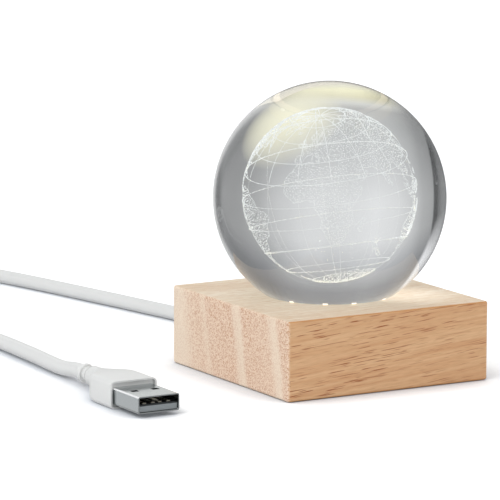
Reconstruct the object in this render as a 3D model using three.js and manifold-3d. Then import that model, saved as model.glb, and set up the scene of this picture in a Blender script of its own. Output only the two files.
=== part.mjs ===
// Crystal ball lamp: a glass ball with a flat-cut foot stands on a square wooden block,
// which holds a small LED board and is fed by a USB cable.
// Lengths are in millimetres and +Z is up. The origin is the middle of the block's
// underside, on the table. The cable leaves through the +Y side.

import * as THREE from "three";
import { mergeVertices } from "three/addons/utils/BufferGeometryUtils.js";
import Module from "manifold-3d";

// Clearances
const seatGap = 0.3; // round a piece that sits in a hole or recess, and between cord ends
const cutOverrun = 1; // how far a cutting shape runs past the face that it cuts

// Wooden block
const blockSide = 62;
const blockHeight = 21.5; // top face over the table
const blockEdge = 0.6; // rounding of the long edges
const blockCorner = 0.3; // extra rounding of the four upright edges
const blockSideWall = 3; // wood left beside the cover's recess
const blockTopWall = 6; // wood left over the pocket

// Anti-slip pads
const padDiameter = 8;
const padThickness = 1.2;
const padStand = 0.15; // how far the pads stand out of the wood
const padInset = 6.6; // from the block's side to a pad's middle

// Glass ball
const ballOverhang = 0.35; // how far the ball reaches past the block's sides
const ballFootDiameter = 34.9; // flat cut that the ball stands on

// Light window under the ball
const windowCover = 3.1; // how far the ball's foot reaches past the window
const windowThickness = 2;
const windowLedge = 3; // wood under the window's rim
const windowEdge = 0.3; // chamfer of the window's rims

// Bottom cover and its screws
const coverThickness = 1.8;
const coverDrop = 0.2; // the cover's face lies this much inside the wood's underside
const coverLip = 6; // overlap of the cover and the wood round the pocket
const coverScrewShank = 2;
const coverScrewHead = 4;
const coverScrewLength = 8;
const coverScrewHeadHeight = 1.1;

// LED board and what it carries
const boardRoom = 2; // from the board's edge to the pocket's wall
const boardThickness = 1.2;
const boardScrewShank = 1.8;
const boardScrewHead = 3.6;
const boardScrewHeadHeight = 1.3;
const boardScrewGrip = 3.6; // thread in the wood
const boardScrewInset = 3.4; // from the board's edge to a screw's middle
const ledSide = 5;
const ledHeight = 1.6;
const ledLensDiameter = 3.8;
const ledLensDepth = 0.4;
const ledSpacing = 7.6; // between the middles of neighbouring LEDs
const resistorLength = 3.2;
const resistorWidth = 1.6;
const resistorHeight = 0.6;
const resistorEnd = 0.5; // length of a soldered end cap
const resistorEndProud = 0.05; // how far an end cap stands out of the body
const resistorSpacing = 8;

// Cable
const cordDiameter = 4;
const boreFloor = 1; // wood left between the cover's recess and the cable's hole
const jacketInside = 7; // length of jacket inside the pocket
const wireDiameter = 1.2;
const wireSpacing = 1.8; // between the two wires where the jacket ends
const solderSpacing = 9; // between the two soldered ends on the board
const wireStraight = 2; // straight run at each end of a wire

// Cable tie on the jacket inside the block
const tieThickness = 1;
const tieWidth = 2.4;
const tieHeadSide = 3.4;
const tieHeadHeight = 2.6;

// Coil of the length that is put away
const coilDiameter = 47; // at the middle of its turns
const coilPitch = 4.7; // between neighbouring turns
const coilLayer = 4.7; // between the two layers
const strapWidth = 5;
const strapThickness = 0.6;
const strapGap = 0.5; // between the strap and the turns beside it
const strapCorner = 1.5;
const coilTurns = 4.45;
const strapTurn = 0.71; // turns from the coil's start to the strap
const strapBump = 6; // the higher, the shorter the lift of the turns over the strap
const stepsPerTurn = 24;
const coilSides = 6;

// Plug
const shellWidth = 12;
const shellHeight = 4.5;
const shellReach = 13.4; // steel that shows in front of the boot
const shellInBoot = 6;
const shellWall = 0.3;
const shellCorner = 0.6;
const shellWindowWidth = 2;
const shellWindowLength = 1.8;
const shellWindowSpacing = 6;
const shellWindowSetback = 7.5; // from the plug's tip to a window's middle
const tongueThickness = 1.9;
const tongueSetback = 0.5; // from the plug's tip to the tongue's end
const tongueChamfer = 0.4;
const mouthDepth = 9.6; // how far a socket's tongue can enter
const tongueGap = 0.1; // between the tongue and the shell's inside
const contactWidth = 1;
const contactThickness = 0.25;
const contactLength = 7.4;
const contactSetback = 1.4; // from the plug's tip to the contacts' ends
const contactPlaceShares = [-0.5, -0.1428, 0.1428, 0.5]; // of the outer contacts' spacing
const contactSpacing = 7;
const bootWidth = 13.6;
const bootHeight = 6.8;
const bootCorner = 1.3;
const bootEdge = 0.5; // rounding of the boot's front edge
const bootRim = 0.45; // wall left round the recess in the boot's front
const bootRecess = 0.8; // depth of that recess
const bootBody = 14.2; // length of full width
const bootTaper = 11; // from the full width to the neck
const neckDiameter = 5.4;
const neckLength = 8.2;
const neckShift = 1.9; // how far the soft neck is bent aside
const neckGrooveDepth = 0.4;
const neckGrooveWidth = 1.1;
const neckGrooveSpacing = 2.5;
const neckGrooveSetback = 3.4; // from the taper's end to the first groove's middle
const plugMiddleX = -68.2;
const bootFrontY = -15.5;

// Free stretches of the cord, as its middle line lies on the table
const leadRoute = [
  [0.3, 47, 4.5],
  [0.9, 57.5, 2.9],
  [1.1, 67, 2.1],
  [0.6, 76, 2],
  [-0.5, 85, 2],
  [-2.6, 96, 2],
  [-4.8, 107.3, 2],
  [-7.1, 118.5, 2],
  [-9.4, 129.8, 2],
  [-11.8, 141.2, 2],
  [-14.4, 152.7, 2],
  [-17.3, 164, 2],
  [-20.4, 175.9, 2],
  [-23.9, 187.2, 2],
];
const tailRoute = [
  [-79.3, 158, 4.8],
  [-77.6, 146, 3],
  [-75.0, 134.5, 2.1],
  [-72.0, 123, 2],
  [-68.9, 111.5, 2],
  [-66.4, 100, 2.1],
  [-64.8, 89, 2.2],
  [-64.2, 78, 2.4],
  [-64.3, 67, 2.5],
  [-64.7, 56, 2.5],
  [-65.3, 44.5, 2.5],
  [-65.8, 36, 2.4],
  [-66.1, 29, 2.5],
];

// Counts that set how fine the round shapes are
const ballSides = 56;
const ballRings = 26;
const roundSides = 40;
const smallSides = 16;
const arcSteps = 5;
const cordSides = 10;
const wireSides = 8;
const wireSteps = 14;
const leadSteps = 22;
const tailSteps = 20;
const taperSteps = 12;
const grooveSteps = 3;

// Places worked out from the sizes
const woodBottom = padStand;
const ballDiameter = blockSide + 2 * ballOverhang;
const recessDiameter = blockSide - 2 * blockSideWall;
const coverDiameter = recessDiameter - 2 * seatGap;
const coverBottom = woodBottom + coverDrop;
const coverTop = coverBottom + coverThickness;
const pocketDiameter = recessDiameter - 2 * coverLip;
const coverScrewCircle = (recessDiameter + pocketDiameter) / 2;
const ceiling = blockHeight - blockTopWall;
const windowDiameter = ballFootDiameter - 2 * windowCover;
const windowTop = blockHeight - seatGap;
const windowBottom = windowTop - windowThickness;
const shaftDiameter = windowDiameter - 2 * windowLedge;
const boardDiameter = pocketDiameter - 2 * boardRoom;
const boardBottom = ceiling - boardThickness;
const boardScrewCircle = boardDiameter - 2 * boardScrewInset;
const boreDiameter = cordDiameter + 2 * seatGap;
const boreHeight = coverTop + boreFloor + boreDiameter / 2;
const jacketEnd = pocketDiameter / 2 - jacketInside;
const padPlace = blockSide / 2 - padInset;
const plugHeight = bootHeight / 2;
const bootLength = bootBody + bootTaper + neckLength;
const plugBackY = bootFrontY + bootLength;
const neckX = plugMiddleX + neckShift;

const wasm = await Module();
wasm.setup();

// Joining and cutting

function solidOf(geometry) {
  const bare = geometry.clone();
  bare.deleteAttribute("normal");
  bare.deleteAttribute("uv");
  const merged = mergeVertices(bare);
  return new wasm.Manifold(
    new wasm.Mesh({
      numProp: 3,
      vertProperties: merged.attributes.position.array,
      triVerts: new Uint32Array(merged.index.array),
    }),
  );
}

function geometryOf(solid) {
  const made = solid.getMesh();
  const geometry = new THREE.BufferGeometry();
  geometry.setAttribute("position", new THREE.BufferAttribute(made.vertProperties, 3));
  geometry.setIndex(new THREE.BufferAttribute(made.triVerts, 1));
  const flat = geometry.toNonIndexed();
  flat.computeVertexNormals();
  return flat;
}

function cut(geometry, cutters) {
  let solid = solidOf(geometry);
  for (const cutter of cutters) {
    solid = solid.subtract(solidOf(cutter));
  }
  return geometryOf(solid);
}

function join(geometries) {
  let solid = solidOf(geometries[0]);
  for (const geometry of geometries.slice(1)) {
    solid = solid.add(solidOf(geometry));
  }
  return geometryOf(solid);
}

// Shapes that many pieces share

// An upright cylinder with its lower face at a height
function disc(diameter, bottom, height, sides = roundSides) {
  const geometry = new THREE.CylinderGeometry(diameter / 2, diameter / 2, height, sides);
  geometry.rotateX(Math.PI / 2);
  geometry.translate(0, 0, bottom + height / 2);
  return geometry;
}

// A solid turned about +Z from a profile of [radius, height] points
function turned(profile, sides = smallSides) {
  const points = profile.map(([radius, height]) => new THREE.Vector2(radius, height));
  const geometry = new THREE.LatheGeometry(points, sides);
  geometry.rotateX(Math.PI / 2);
  return geometry;
}

// A box with the middle of its lower face at a place
function block(width, length, height, x, y, bottom) {
  const geometry = new THREE.BoxGeometry(width, length, height);
  geometry.translate(x, y, bottom + height / 2);
  return geometry;
}

function roundedRectangle(width, height, radius, path = new THREE.Shape()) {
  const x = width / 2 - radius;
  const y = height / 2 - radius;
  path.absarc(x, y, radius, 0, Math.PI / 2);
  path.absarc(-x, y, radius, Math.PI / 2, Math.PI);
  path.absarc(-x, -y, radius, Math.PI, (3 * Math.PI) / 2);
  path.absarc(x, -y, radius, (3 * Math.PI) / 2, 2 * Math.PI);
  path.closePath();
  return path;
}

// A ring of points on a rounded rectangle across the plug's axis, at a place along it
function ringAcross(width, height, radius, along) {
  const points = [];
  for (let corner = 0; corner < 4; corner += 1) {
    const middle = (corner + 1 / 2) * (Math.PI / 2);
    const x = Math.sign(Math.cos(middle)) * (width / 2 - radius);
    const z = Math.sign(Math.sin(middle)) * (height / 2 - radius);
    for (let step = 0; step < arcSteps; step += 1) {
      const angle = (corner + (step + 1 / 2) / arcSteps) * (Math.PI / 2);
      const out = new THREE.Vector3(radius * Math.cos(angle), 0, radius * Math.sin(angle));
      points.push(out.add(new THREE.Vector3(x, along, z)));
    }
  }
  return points;
}

// A closed skin over rings that all have the same number of points
function skinOver(rings) {
  const count = rings[0].length;
  const positions = rings.flat().flatMap((point) => point.toArray());
  const faces = [];
  for (let ring = 0; ring < rings.length - 1; ring += 1) {
    for (let side = 0; side < count; side += 1) {
      const here = ring * count + side;
      const next = ring * count + ((side + 1) % count);
      faces.push(here, here + count, next);
      faces.push(next, here + count, next + count);
    }
  }
  const last = (rings.length - 1) * count;
  for (let side = 1; side < count - 1; side += 1) {
    faces.push(0, side, side + 1);
    faces.push(last, last + side + 1, last + side);
  }
  const geometry = new THREE.BufferGeometry();
  geometry.setAttribute("position", new THREE.Float32BufferAttribute(positions, 3));
  geometry.setIndex(faces);
  return geometry;
}

function polygon(diameter, sides) {
  const points = [];
  for (let side = 0; side < sides; side += 1) {
    const angle = (side / sides) * 2 * Math.PI;
    points.push(new THREE.Vector2(Math.cos(angle), Math.sin(angle)).multiplyScalar(diameter / 2));
  }
  return new THREE.Shape(points);
}

function tubeAlong(points, diameter, sides, steps) {
  const extrudePath = new THREE.CatmullRomCurve3(points, false, "centripetal");
  return new THREE.ExtrudeGeometry(polygon(diameter, sides), { steps, extrudePath });
}

function at(x, y, z) {
  return new THREE.Vector3(x, y, z);
}

// Four places at the corners of a square, or places evenly round a circle
function cornersOf(half) {
  return [
    [half, half],
    [-half, half],
    [-half, -half],
    [half, -half],
  ];
}

function placesRound(circle, count, firstTurn) {
  const places = [];
  for (let place = 0; place < count; place += 1) {
    const angle = (firstTurn + place / count) * 2 * Math.PI;
    places.push([(circle / 2) * Math.cos(angle), (circle / 2) * Math.sin(angle)]);
  }
  return places;
}

const coverScrewPlaces = placesRound(coverScrewCircle, 4, 1 / 8);
const boardScrewPlaces = placesRound(boardScrewCircle, 3, 1 / 4);
const padPlaces = cornersOf(padPlace);

// Wooden block: rounded square, stepped hole for the light, pocket and cover recess below

function woodBlock() {
  const face = blockSide - 2 * blockEdge;
  const timber = new THREE.ExtrudeGeometry(roundedRectangle(face, face, blockCorner), {
    depth: blockHeight - woodBottom - 2 * blockEdge,
    bevelThickness: blockEdge,
    bevelSize: blockEdge,
    bevelSegments: 3,
    curveSegments: 2,
  });
  timber.translate(0, 0, woodBottom + blockEdge);

  const below = woodBottom - cutOverrun;
  const bore = disc(boreDiameter, 0, blockSide / 2 + cutOverrun, smallSides);
  bore.rotateX(-Math.PI / 2);
  bore.translate(0, 0, boreHeight);
  const cutters = [
    disc(windowDiameter + 2 * seatGap, windowBottom, blockHeight - windowBottom + cutOverrun),
    disc(shaftDiameter, ceiling - cutOverrun, blockHeight - ceiling),
    disc(recessDiameter, below, coverTop - below),
    disc(pocketDiameter, coverTop - cutOverrun, ceiling - coverTop + cutOverrun),
    bore,
  ];
  for (const [x, y] of padPlaces) {
    const recess = disc(padDiameter + 2 * seatGap, below, padThickness - below);
    cutters.push(recess.translate(x, y, 0));
  }
  const coverPilot = coverBottom + coverScrewLength + seatGap;
  for (const [x, y] of coverScrewPlaces) {
    const pilot = disc(coverScrewShank + 2 * seatGap, below, coverPilot - below, smallSides);
    cutters.push(pilot.translate(x, y, 0));
  }
  for (const [x, y] of boardScrewPlaces) {
    const depth = boardScrewGrip + seatGap + cutOverrun;
    const pilot = disc(boardScrewShank + 2 * seatGap, ceiling - cutOverrun, depth, smallSides);
    cutters.push(pilot.translate(x, y, 0));
  }
  return cut(timber, cutters);
}

// Glass ball: a sphere cut flat where it stands

function crystalBall() {
  const radius = ballDiameter / 2;
  const footAngle = Math.asin(ballFootDiameter / ballDiameter);
  const profile = [[0, -radius * Math.cos(footAngle)]];
  for (let ring = 0; ring <= ballRings; ring += 1) {
    const angle = footAngle + (ring / ballRings) * (Math.PI - footAngle);
    const out = ring === ballRings ? 0 : radius * Math.sin(angle);
    profile.push([out, -radius * Math.cos(angle)]);
  }
  return turned(profile, ballSides);
}

function lightWindow() {
  const radius = windowDiameter / 2;
  return turned(
    [
      [0, 0],
      [radius - windowEdge, 0],
      [radius, windowEdge],
      [radius, windowThickness - windowEdge],
      [radius - windowEdge, windowThickness],
      [0, windowThickness],
    ],
    roundSides,
  );
}

// Screws, with the head down and the point up

function crossSlots(head, depth) {
  const slotShare = 0.62;
  const slotWidthShare = 0.16;
  const length = head * slotShare;
  const width = head * slotWidthShare;
  return [
    block(length, width, depth + cutOverrun, 0, 0, -cutOverrun),
    block(width, length, depth + cutOverrun, 0, 0, -cutOverrun),
  ];
}

function countersunkScrew() {
  const slotDepthShare = 0.6;
  const screw = turned([
    [0, 0],
    [coverScrewHead / 2, 0],
    [coverScrewShank / 2, coverScrewHeadHeight],
    [coverScrewShank / 2, coverScrewLength - coverScrewShank],
    [0, coverScrewLength],
  ]);
  return cut(screw, crossSlots(coverScrewHead, coverScrewHeadHeight * slotDepthShare));
}

function panHeadScrew() {
  const domeShare = 0.7;
  const slotDepthShare = 0.6;
  const top = boardScrewHeadHeight + boardThickness + boardScrewGrip;
  const screw = turned([
    [0, 0],
    [(boardScrewHead / 2) * domeShare, 0],
    [boardScrewHead / 2, boardScrewHeadHeight / 2],
    [boardScrewHead / 2, boardScrewHeadHeight],
    [boardScrewShank / 2, boardScrewHeadHeight],
    [boardScrewShank / 2, top - boardScrewShank],
    [0, top],
  ]);
  return cut(screw, crossSlots(boardScrewHead, boardScrewHeadHeight * slotDepthShare));
}

// Bottom cover: a disc with four countersunk holes

function bottomCover() {
  const cutters = coverScrewPlaces.map(([x, y]) => {
    const head = coverScrewHead / 2 + seatGap;
    const shank = coverScrewShank / 2 + seatGap;
    const hole = turned([
      [0, -cutOverrun],
      [head, -cutOverrun],
      [head, 0],
      [shank, coverScrewHeadHeight],
      [shank, coverThickness + cutOverrun],
      [0, coverThickness + cutOverrun],
    ]);
    return hole.translate(x, y, 0);
  });
  return cut(disc(coverDiameter, 0, coverThickness), cutters);
}

// LED board and the parts soldered to it

function ledBoard() {
  const holes = boardScrewPlaces.map(([x, y]) => {
    const height = boardThickness + 2 * cutOverrun;
    const hole = disc(boardScrewShank + 2 * seatGap, -cutOverrun, height, smallSides);
    return hole.translate(x, y, 0);
  });
  return cut(disc(boardDiameter, 0, boardThickness), holes);
}

function led() {
  const lens = disc(ledLensDiameter, ledHeight - ledLensDepth, ledLensDepth + cutOverrun, smallSides);
  return cut(block(ledSide, ledSide, ledHeight, 0, 0, 0), [lens]);
}

function resistor() {
  const capWidth = resistorWidth + 2 * resistorEndProud;
  const capPlace = (resistorLength - resistorEnd) / 2;
  const cap = (side) => block(resistorEnd, capWidth, resistorHeight, side * capPlace, 0, 0);
  const body = block(resistorLength - resistorEnd, resistorWidth, resistorHeight, 0, 0, 0);
  return join([body, cap(-1), cap(1)]);
}

// Cable inside the block

function innerLead() {
  const lead = disc(cordDiameter, 0, blockSide / 2 - jacketEnd, cordSides);
  return lead.rotateX(-Math.PI / 2);
}

function strainTie() {
  const inner = cordDiameter / 2 + seatGap;
  const outer = inner + tieThickness;
  const ring = turned([
    [inner, 0],
    [outer, 0],
    [outer, tieWidth],
    [inner, tieWidth],
    [inner, 0],
  ]);
  ring.rotateX(-Math.PI / 2);
  const headPlace = (inner + outer) / 2;
  const headMiddle = tieWidth - tieHeadSide / 2;
  const head = block(tieHeadSide, tieHeadSide, tieHeadHeight, 0, headMiddle, headPlace);
  return join([ring, head]);
}

// A supply wire, from the jacket's end up to the board's underside
function supplyWire(side) {
  const startX = (side * wireSpacing) / 2;
  const endX = (side * solderSpacing) / 2;
  const startY = jacketEnd - seatGap;
  const endY = 0;
  const endZ = boardBottom - seatGap;
  const lift = (endZ - boreHeight) / 2;
  const points = [
    at(startX, startY, boreHeight),
    at(startX, startY - wireStraight, boreHeight),
    at((startX + endX) / 2, (startY + endY) / 2, boreHeight + wireDiameter),
    at(endX, endY, boreHeight + lift),
    at(endX, endY, endZ - wireStraight),
    at(endX, endY, endZ),
  ];
  return tubeAlong(points, wireDiameter, wireSides, wireSteps);
}

// Coil: one strand that spirals in on the lower layer, climbs where it reverses, and
// spirals out on the upper layer. Where the strap passes underneath, the turns lift over it.

const reversal = coilTurns / 2;
const climbTurns = 0.5;
const strapLift = strapThickness + seatGap;

function coilRadius(turn) {
  const away = Math.abs(turn - reversal);
  const half = climbTurns / 2;
  const eased = away < half ? (away * away) / (2 * half) + half / 2 : away;
  const outerRadius = coilDiameter / 2 + (coilPitch * reversal) / 2;
  return outerRadius - coilPitch * (reversal - eased);
}

function coilHeight(turn) {
  const climb = THREE.MathUtils.smoothstep(turn, reversal - climbTurns / 2, reversal + climbTurns / 2);
  const overStrap = Math.max(0, Math.cos((turn - strapTurn) * 2 * Math.PI)) ** strapBump;
  return coilLayer * climb + strapLift * overStrap;
}

function coilPoint(turn) {
  const angle = turn * 2 * Math.PI;
  const radius = coilRadius(turn);
  return at(radius * Math.cos(angle), radius * Math.sin(angle), coilHeight(turn));
}

// The coil's line in its own frame, with a straight run of one diameter at each end
function coilLine() {
  const steps = Math.round(coilTurns * stepsPerTurn);
  const points = [];
  for (let step = 0; step <= steps; step += 1) {
    points.push(coilPoint((step / steps) * coilTurns));
  }
  const level = (from, to) => at(to.x - from.x, to.y - from.y, 0).setLength(cordDiameter);
  const first = points[0].clone().add(level(points[1], points[0]));
  const final = points[steps].clone().add(level(points[steps - 1], points[steps]));
  return [first, ...points, final];
}

// Carries the coil's line to the end of the lead, turned so that the two run on
function placedCoilLine() {
  const line = coilLine();
  const [before, end] = leadRoute.slice(-2).map((point) => at(...point));
  const arriving = Math.atan2(end.y - before.y, end.x - before.x);
  const starting = Math.atan2(line[1].y - line[0].y, line[1].x - line[0].x);
  const turn = arriving - starting;
  const up = at(0, 0, 1);
  const onward = at(Math.cos(arriving), Math.sin(arriving), 0).multiplyScalar(seatGap);
  const start = line[0].clone().applyAxisAngle(up, turn);
  const shift = end.clone().add(onward).sub(start);
  return {
    turn,
    middle: shift,
    points: line.map((point) => point.applyAxisAngle(up, turn).add(shift)),
  };
}

// Rings of a tube that turns along a line without twisting
function ringsAlong(points, diameter, sides) {
  const tangents = points.map((point, index) => {
    const before = points[Math.max(index - 1, 0)];
    const after = points[Math.min(index + 1, points.length - 1)];
    return after.clone().sub(before).normalize();
  });
  let across = at(0, 0, 1);
  return points.map((point, index) => {
    const tangent = tangents[index];
    across.sub(tangent.clone().multiplyScalar(across.dot(tangent))).normalize();
    const beside = across.clone().cross(tangent);
    const ring = [];
    for (let side = 0; side < sides; side += 1) {
      const angle = (side / sides) * 2 * Math.PI;
      const out = across.clone().multiplyScalar((diameter / 2) * Math.cos(angle));
      out.add(beside.clone().multiplyScalar((diameter / 2) * Math.sin(angle)));
      ring.push(out.add(point));
    }
    return ring;
  });
}

// The least free space between turns: between points at least half a turn apart
function leastGap(points, diameter) {
  let least = Infinity;
  for (let one = 0; one < points.length; one += 1) {
    for (let other = one + stepsPerTurn / 2; other < points.length; other += 1) {
      least = Math.min(least, points[one].distanceTo(points[other]) - diameter);
    }
  }
  return least;
}

const coil = placedCoilLine();
console.log("Least gap between the coil's turns:", leastGap(coil.points, cordDiameter).toFixed(2), "mm");

// A strap round the turns of both layers
function coilStrap() {
  const turns = [strapTurn, strapTurn + 1, strapTurn + 2, strapTurn + 3];
  const radii = turns.map(coilRadius);
  const low = Math.min(...radii) - cordDiameter / 2 - strapGap;
  const high = Math.max(...radii) + cordDiameter / 2 + strapGap;
  const width = high - low;
  const height = coilLayer + cordDiameter + 2 * seatGap;
  const outer = roundedRectangle(width + 2 * strapThickness, height + 2 * strapThickness, strapCorner);
  const holeCorner = strapCorner - strapThickness;
  outer.holes.push(roundedRectangle(width, height, holeCorner, new THREE.Path()));
  const strap = new THREE.ExtrudeGeometry(outer, {
    depth: strapWidth,
    bevelEnabled: false,
    curveSegments: 4,
  });
  strap.rotateX(Math.PI / 2);
  strap.translate((low + high) / 2, strapWidth / 2, strapThickness + height / 2);
  return strap;
}

// Free stretches of the cord, which meet the block, the coil and the plug face to face

function leadLine() {
  const side = blockSide / 2;
  return [
    at(0, side + seatGap, boreHeight),
    at(0, side + seatGap + cordDiameter, boreHeight),
    ...leadRoute.map((point) => at(...point)),
  ];
}

function tailLine() {
  const [before, end] = coil.points.slice(-2);
  const onward = end.clone().sub(before).normalize();
  const start = end.clone().add(onward.clone().multiplyScalar(seatGap));
  return [
    start,
    start.clone().add(onward.multiplyScalar(cordDiameter)),
    ...tailRoute.map((point) => at(...point)),
    at(neckX, plugBackY + seatGap + cordDiameter, plugHeight),
    at(neckX, plugBackY + seatGap, plugHeight),
  ];
}

function lengthOf(points) {
  return new THREE.CatmullRomCurve3(points, false, "centripetal").getLength();
}

const coilLength = coil.points.slice(1).reduce((sum, point, index) => {
  return sum + point.distanceTo(coil.points[index]);
}, 0);
const freeLength = lengthOf(leadLine()) + coilLength + lengthOf(tailLine());
console.log("Cord from the block to the plug:", freeLength.toFixed(0), "mm");

// Plug: a moulded boot with a ring-grooved neck, a folded shell, and a tongue with contacts.
// The plug's own frame has its origin on the axis at the boot's front, and +Y runs to the cord.

function aside(ring, share) {
  return ring.map((point) => point.add(at(share * neckShift, 0, 0)));
}

function bootRings() {
  const rings = [];
  for (let step = 0; step <= arcSteps; step += 1) {
    const angle = (step / arcSteps) * (Math.PI / 2);
    const inset = bootEdge * (1 - Math.sin(angle));
    const along = bootEdge * (1 - Math.cos(angle));
    rings.push(ringAcross(bootWidth - 2 * inset, bootHeight - 2 * inset, bootCorner, along));
  }
  for (let step = 0; step <= taperSteps; step += 1) {
    const share = step / taperSteps;
    const eased = THREE.MathUtils.smoothstep(share, 0, 1);
    const width = THREE.MathUtils.lerp(bootWidth, neckDiameter, eased);
    const height = THREE.MathUtils.lerp(bootHeight, neckDiameter, eased);
    const corner = THREE.MathUtils.lerp(bootCorner, neckDiameter / 2, eased);
    const ring = ringAcross(width, height, corner, bootBody + share * bootTaper);
    rings.push(aside(ring, eased));
  }
  for (const groove of [0, 1]) {
    const middle = bootBody + bootTaper + neckGrooveSetback + groove * neckGrooveSpacing;
    for (let step = 0; step <= 2 * grooveSteps; step += 1) {
      const share = step / grooveSteps - 1;
      const depth = (neckGrooveDepth * (1 + Math.cos(share * Math.PI))) / 2;
      const diameter = neckDiameter - 2 * depth;
      const along = middle + (share * neckGrooveWidth) / 2;
      rings.push(aside(ringAcross(diameter, diameter, diameter / 2, along), 1));
    }
  }
  for (let step = 0; step <= 2; step += 1) {
    const angle = (step / 2) * (Math.PI / 2);
    const diameter = neckDiameter - 2 * neckGrooveDepth * (1 - Math.cos(angle));
    const along = bootLength - neckGrooveDepth * (1 - Math.sin(angle));
    rings.push(aside(ringAcross(diameter, diameter, diameter / 2, along), 1));
  }
  return rings;
}

function plugBoot() {
  const width = shellWidth + 2 * seatGap;
  const height = shellHeight + 2 * seatGap;
  const length = shellInBoot + seatGap + cutOverrun;
  const pocket = block(width, length, height, 0, length / 2 - cutOverrun, -height / 2);
  const mouthWidth = bootWidth - 2 * bootRim;
  const mouthHeight = bootHeight - 2 * bootRim;
  const mouthLength = bootRecess + cutOverrun;
  const mouthMiddle = mouthLength / 2 - cutOverrun;
  const mouth = block(mouthWidth, mouthLength, mouthHeight, 0, mouthMiddle, -mouthHeight / 2);
  return cut(skinOver(bootRings()), [pocket, mouth]);
}

function plugShell() {
  const section = roundedRectangle(shellWidth, shellHeight, shellCorner);
  const wide = shellWidth - 2 * shellWall;
  const high = shellHeight - 2 * shellWall;
  section.holes.push(roundedRectangle(wide, high, shellCorner - shellWall, new THREE.Path()));
  const shell = new THREE.ExtrudeGeometry(section, {
    depth: shellReach + shellInBoot,
    bevelEnabled: false,
    curveSegments: 4,
  });
  shell.rotateX(Math.PI / 2);
  shell.translate(0, shellInBoot, 0);
  const middle = shellWindowSetback - shellReach;
  const windows = [-1, 1].map((side) => {
    const x = (side * shellWindowSpacing) / 2;
    const height = shellHeight + 2 * cutOverrun;
    return block(shellWindowWidth, shellWindowLength, height, x, middle, -height / 2);
  });
  return cut(shell, windows);
}

// The tongue's side outline: low in the mouth, full height behind it
function plugTongue() {
  const inside = shellHeight / 2 - shellWall - tongueGap;
  const front = tongueSetback - shellReach;
  const mouthEnd = mouthDepth - shellReach;
  const face = tongueThickness - inside;
  const outline = new THREE.Shape([
    new THREE.Vector2(front, -inside),
    new THREE.Vector2(shellInBoot, -inside),
    new THREE.Vector2(shellInBoot, inside),
    new THREE.Vector2(mouthEnd, inside),
    new THREE.Vector2(mouthEnd, face),
    new THREE.Vector2(front + tongueChamfer, face),
    new THREE.Vector2(front, face - tongueChamfer),
  ]);
  const width = shellWidth - 2 * (shellWall + tongueGap);
  const tongue = new THREE.ExtrudeGeometry(outline, { depth: width, bevelEnabled: false });
  tongue.rotateX(Math.PI / 2);
  tongue.rotateZ(Math.PI / 2);
  tongue.translate(-width / 2, 0, 0);
  return tongue;
}

function plugContact() {
  return block(contactWidth, contactLength, contactThickness, 0, contactLength / 2, 0);
}

// Finishes

function finish(color, roughness, metalness = 0) {
  return new THREE.MeshStandardMaterial({ color, roughness, metalness });
}

const wood = () => finish(0xdcb68f, 0.55);
const glass = () => finish(0xe6ecef, 0.03);
const clearPlastic = () => finish(0xeff2ee, 0.1);
const whitePlastic = () => finish(0xe9e9e7, 0.45);
const blackPlastic = () => finish(0x26272a, 0.5);
const blackCeramic = () => finish(0x26272a, 0.3);
const blackRubber = () => finish(0x1b1b1c, 0.9);
const boardWhite = () => finish(0xe8ebe6, 0.4);
const ledYellow = () => finish(0xf3e7a4, 0.3);
const steel = () => finish(0xb9bdc0, 0.28, 1);
const brass = () => finish(0xcaa45a, 0.3, 1);
const greyPlastic = () => finish(0x8b8f92, 0.5);
const redSleeve = () => finish(0xb3201c, 0.45);

// Assembly

const lamp = new THREE.Group();

function place(group, name, geometry, material, x = 0, y = 0, z = 0) {
  const mesh = new THREE.Mesh(geometry, material);
  mesh.name = name;
  mesh.position.set(x, y, z);
  group.add(mesh);
  return mesh;
}

const ballMiddle = blockHeight + Math.sqrt(ballDiameter ** 2 - ballFootDiameter ** 2) / 2;
place(lamp, "wood_block", woodBlock(), wood());
place(lamp, "crystal_ball", crystalBall(), glass(), 0, 0, ballMiddle);
place(lamp, "light_window", lightWindow(), clearPlastic(), 0, 0, windowBottom);
place(lamp, "led_board", ledBoard(), boardWhite(), 0, 0, boardBottom);
cornersOf(ledSpacing / 2).forEach(([x, y], index) => {
  place(lamp, `led_${index + 1}`, led(), ledYellow(), x, y, ceiling);
});
[-1, 1].forEach((side, index) => {
  const x = (side * resistorSpacing) / 2;
  const z = boardBottom - resistorHeight;
  place(lamp, `resistor_${index + 1}`, resistor(), blackCeramic(), x, -resistorSpacing, z);
});
boardScrewPlaces.forEach(([x, y], index) => {
  const z = boardBottom - boardScrewHeadHeight;
  place(lamp, `board_screw_${index + 1}`, panHeadScrew(), steel(), x, y, z);
});
place(lamp, "bottom_cover", bottomCover(), blackPlastic(), 0, 0, coverBottom);
coverScrewPlaces.forEach(([x, y], index) => {
  place(lamp, `cover_screw_${index + 1}`, countersunkScrew(), steel(), x, y, coverBottom);
});
padPlaces.forEach(([x, y], index) => {
  place(lamp, `foot_pad_${index + 1}`, disc(padDiameter, 0, padThickness), blackRubber(), x, y, 0);
});
const tieFace = Math.sqrt(pocketDiameter ** 2 / 4 - (boreDiameter / 2 + tieThickness) ** 2) - seatGap;
place(lamp, "inner_lead", innerLead(), whitePlastic(), 0, jacketEnd, boreHeight);
place(lamp, "strain_tie", strainTie(), whitePlastic(), 0, tieFace - tieWidth, boreHeight);
place(lamp, "red_wire", supplyWire(-1), redSleeve());
place(lamp, "black_wire", supplyWire(1), blackPlastic());

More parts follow.
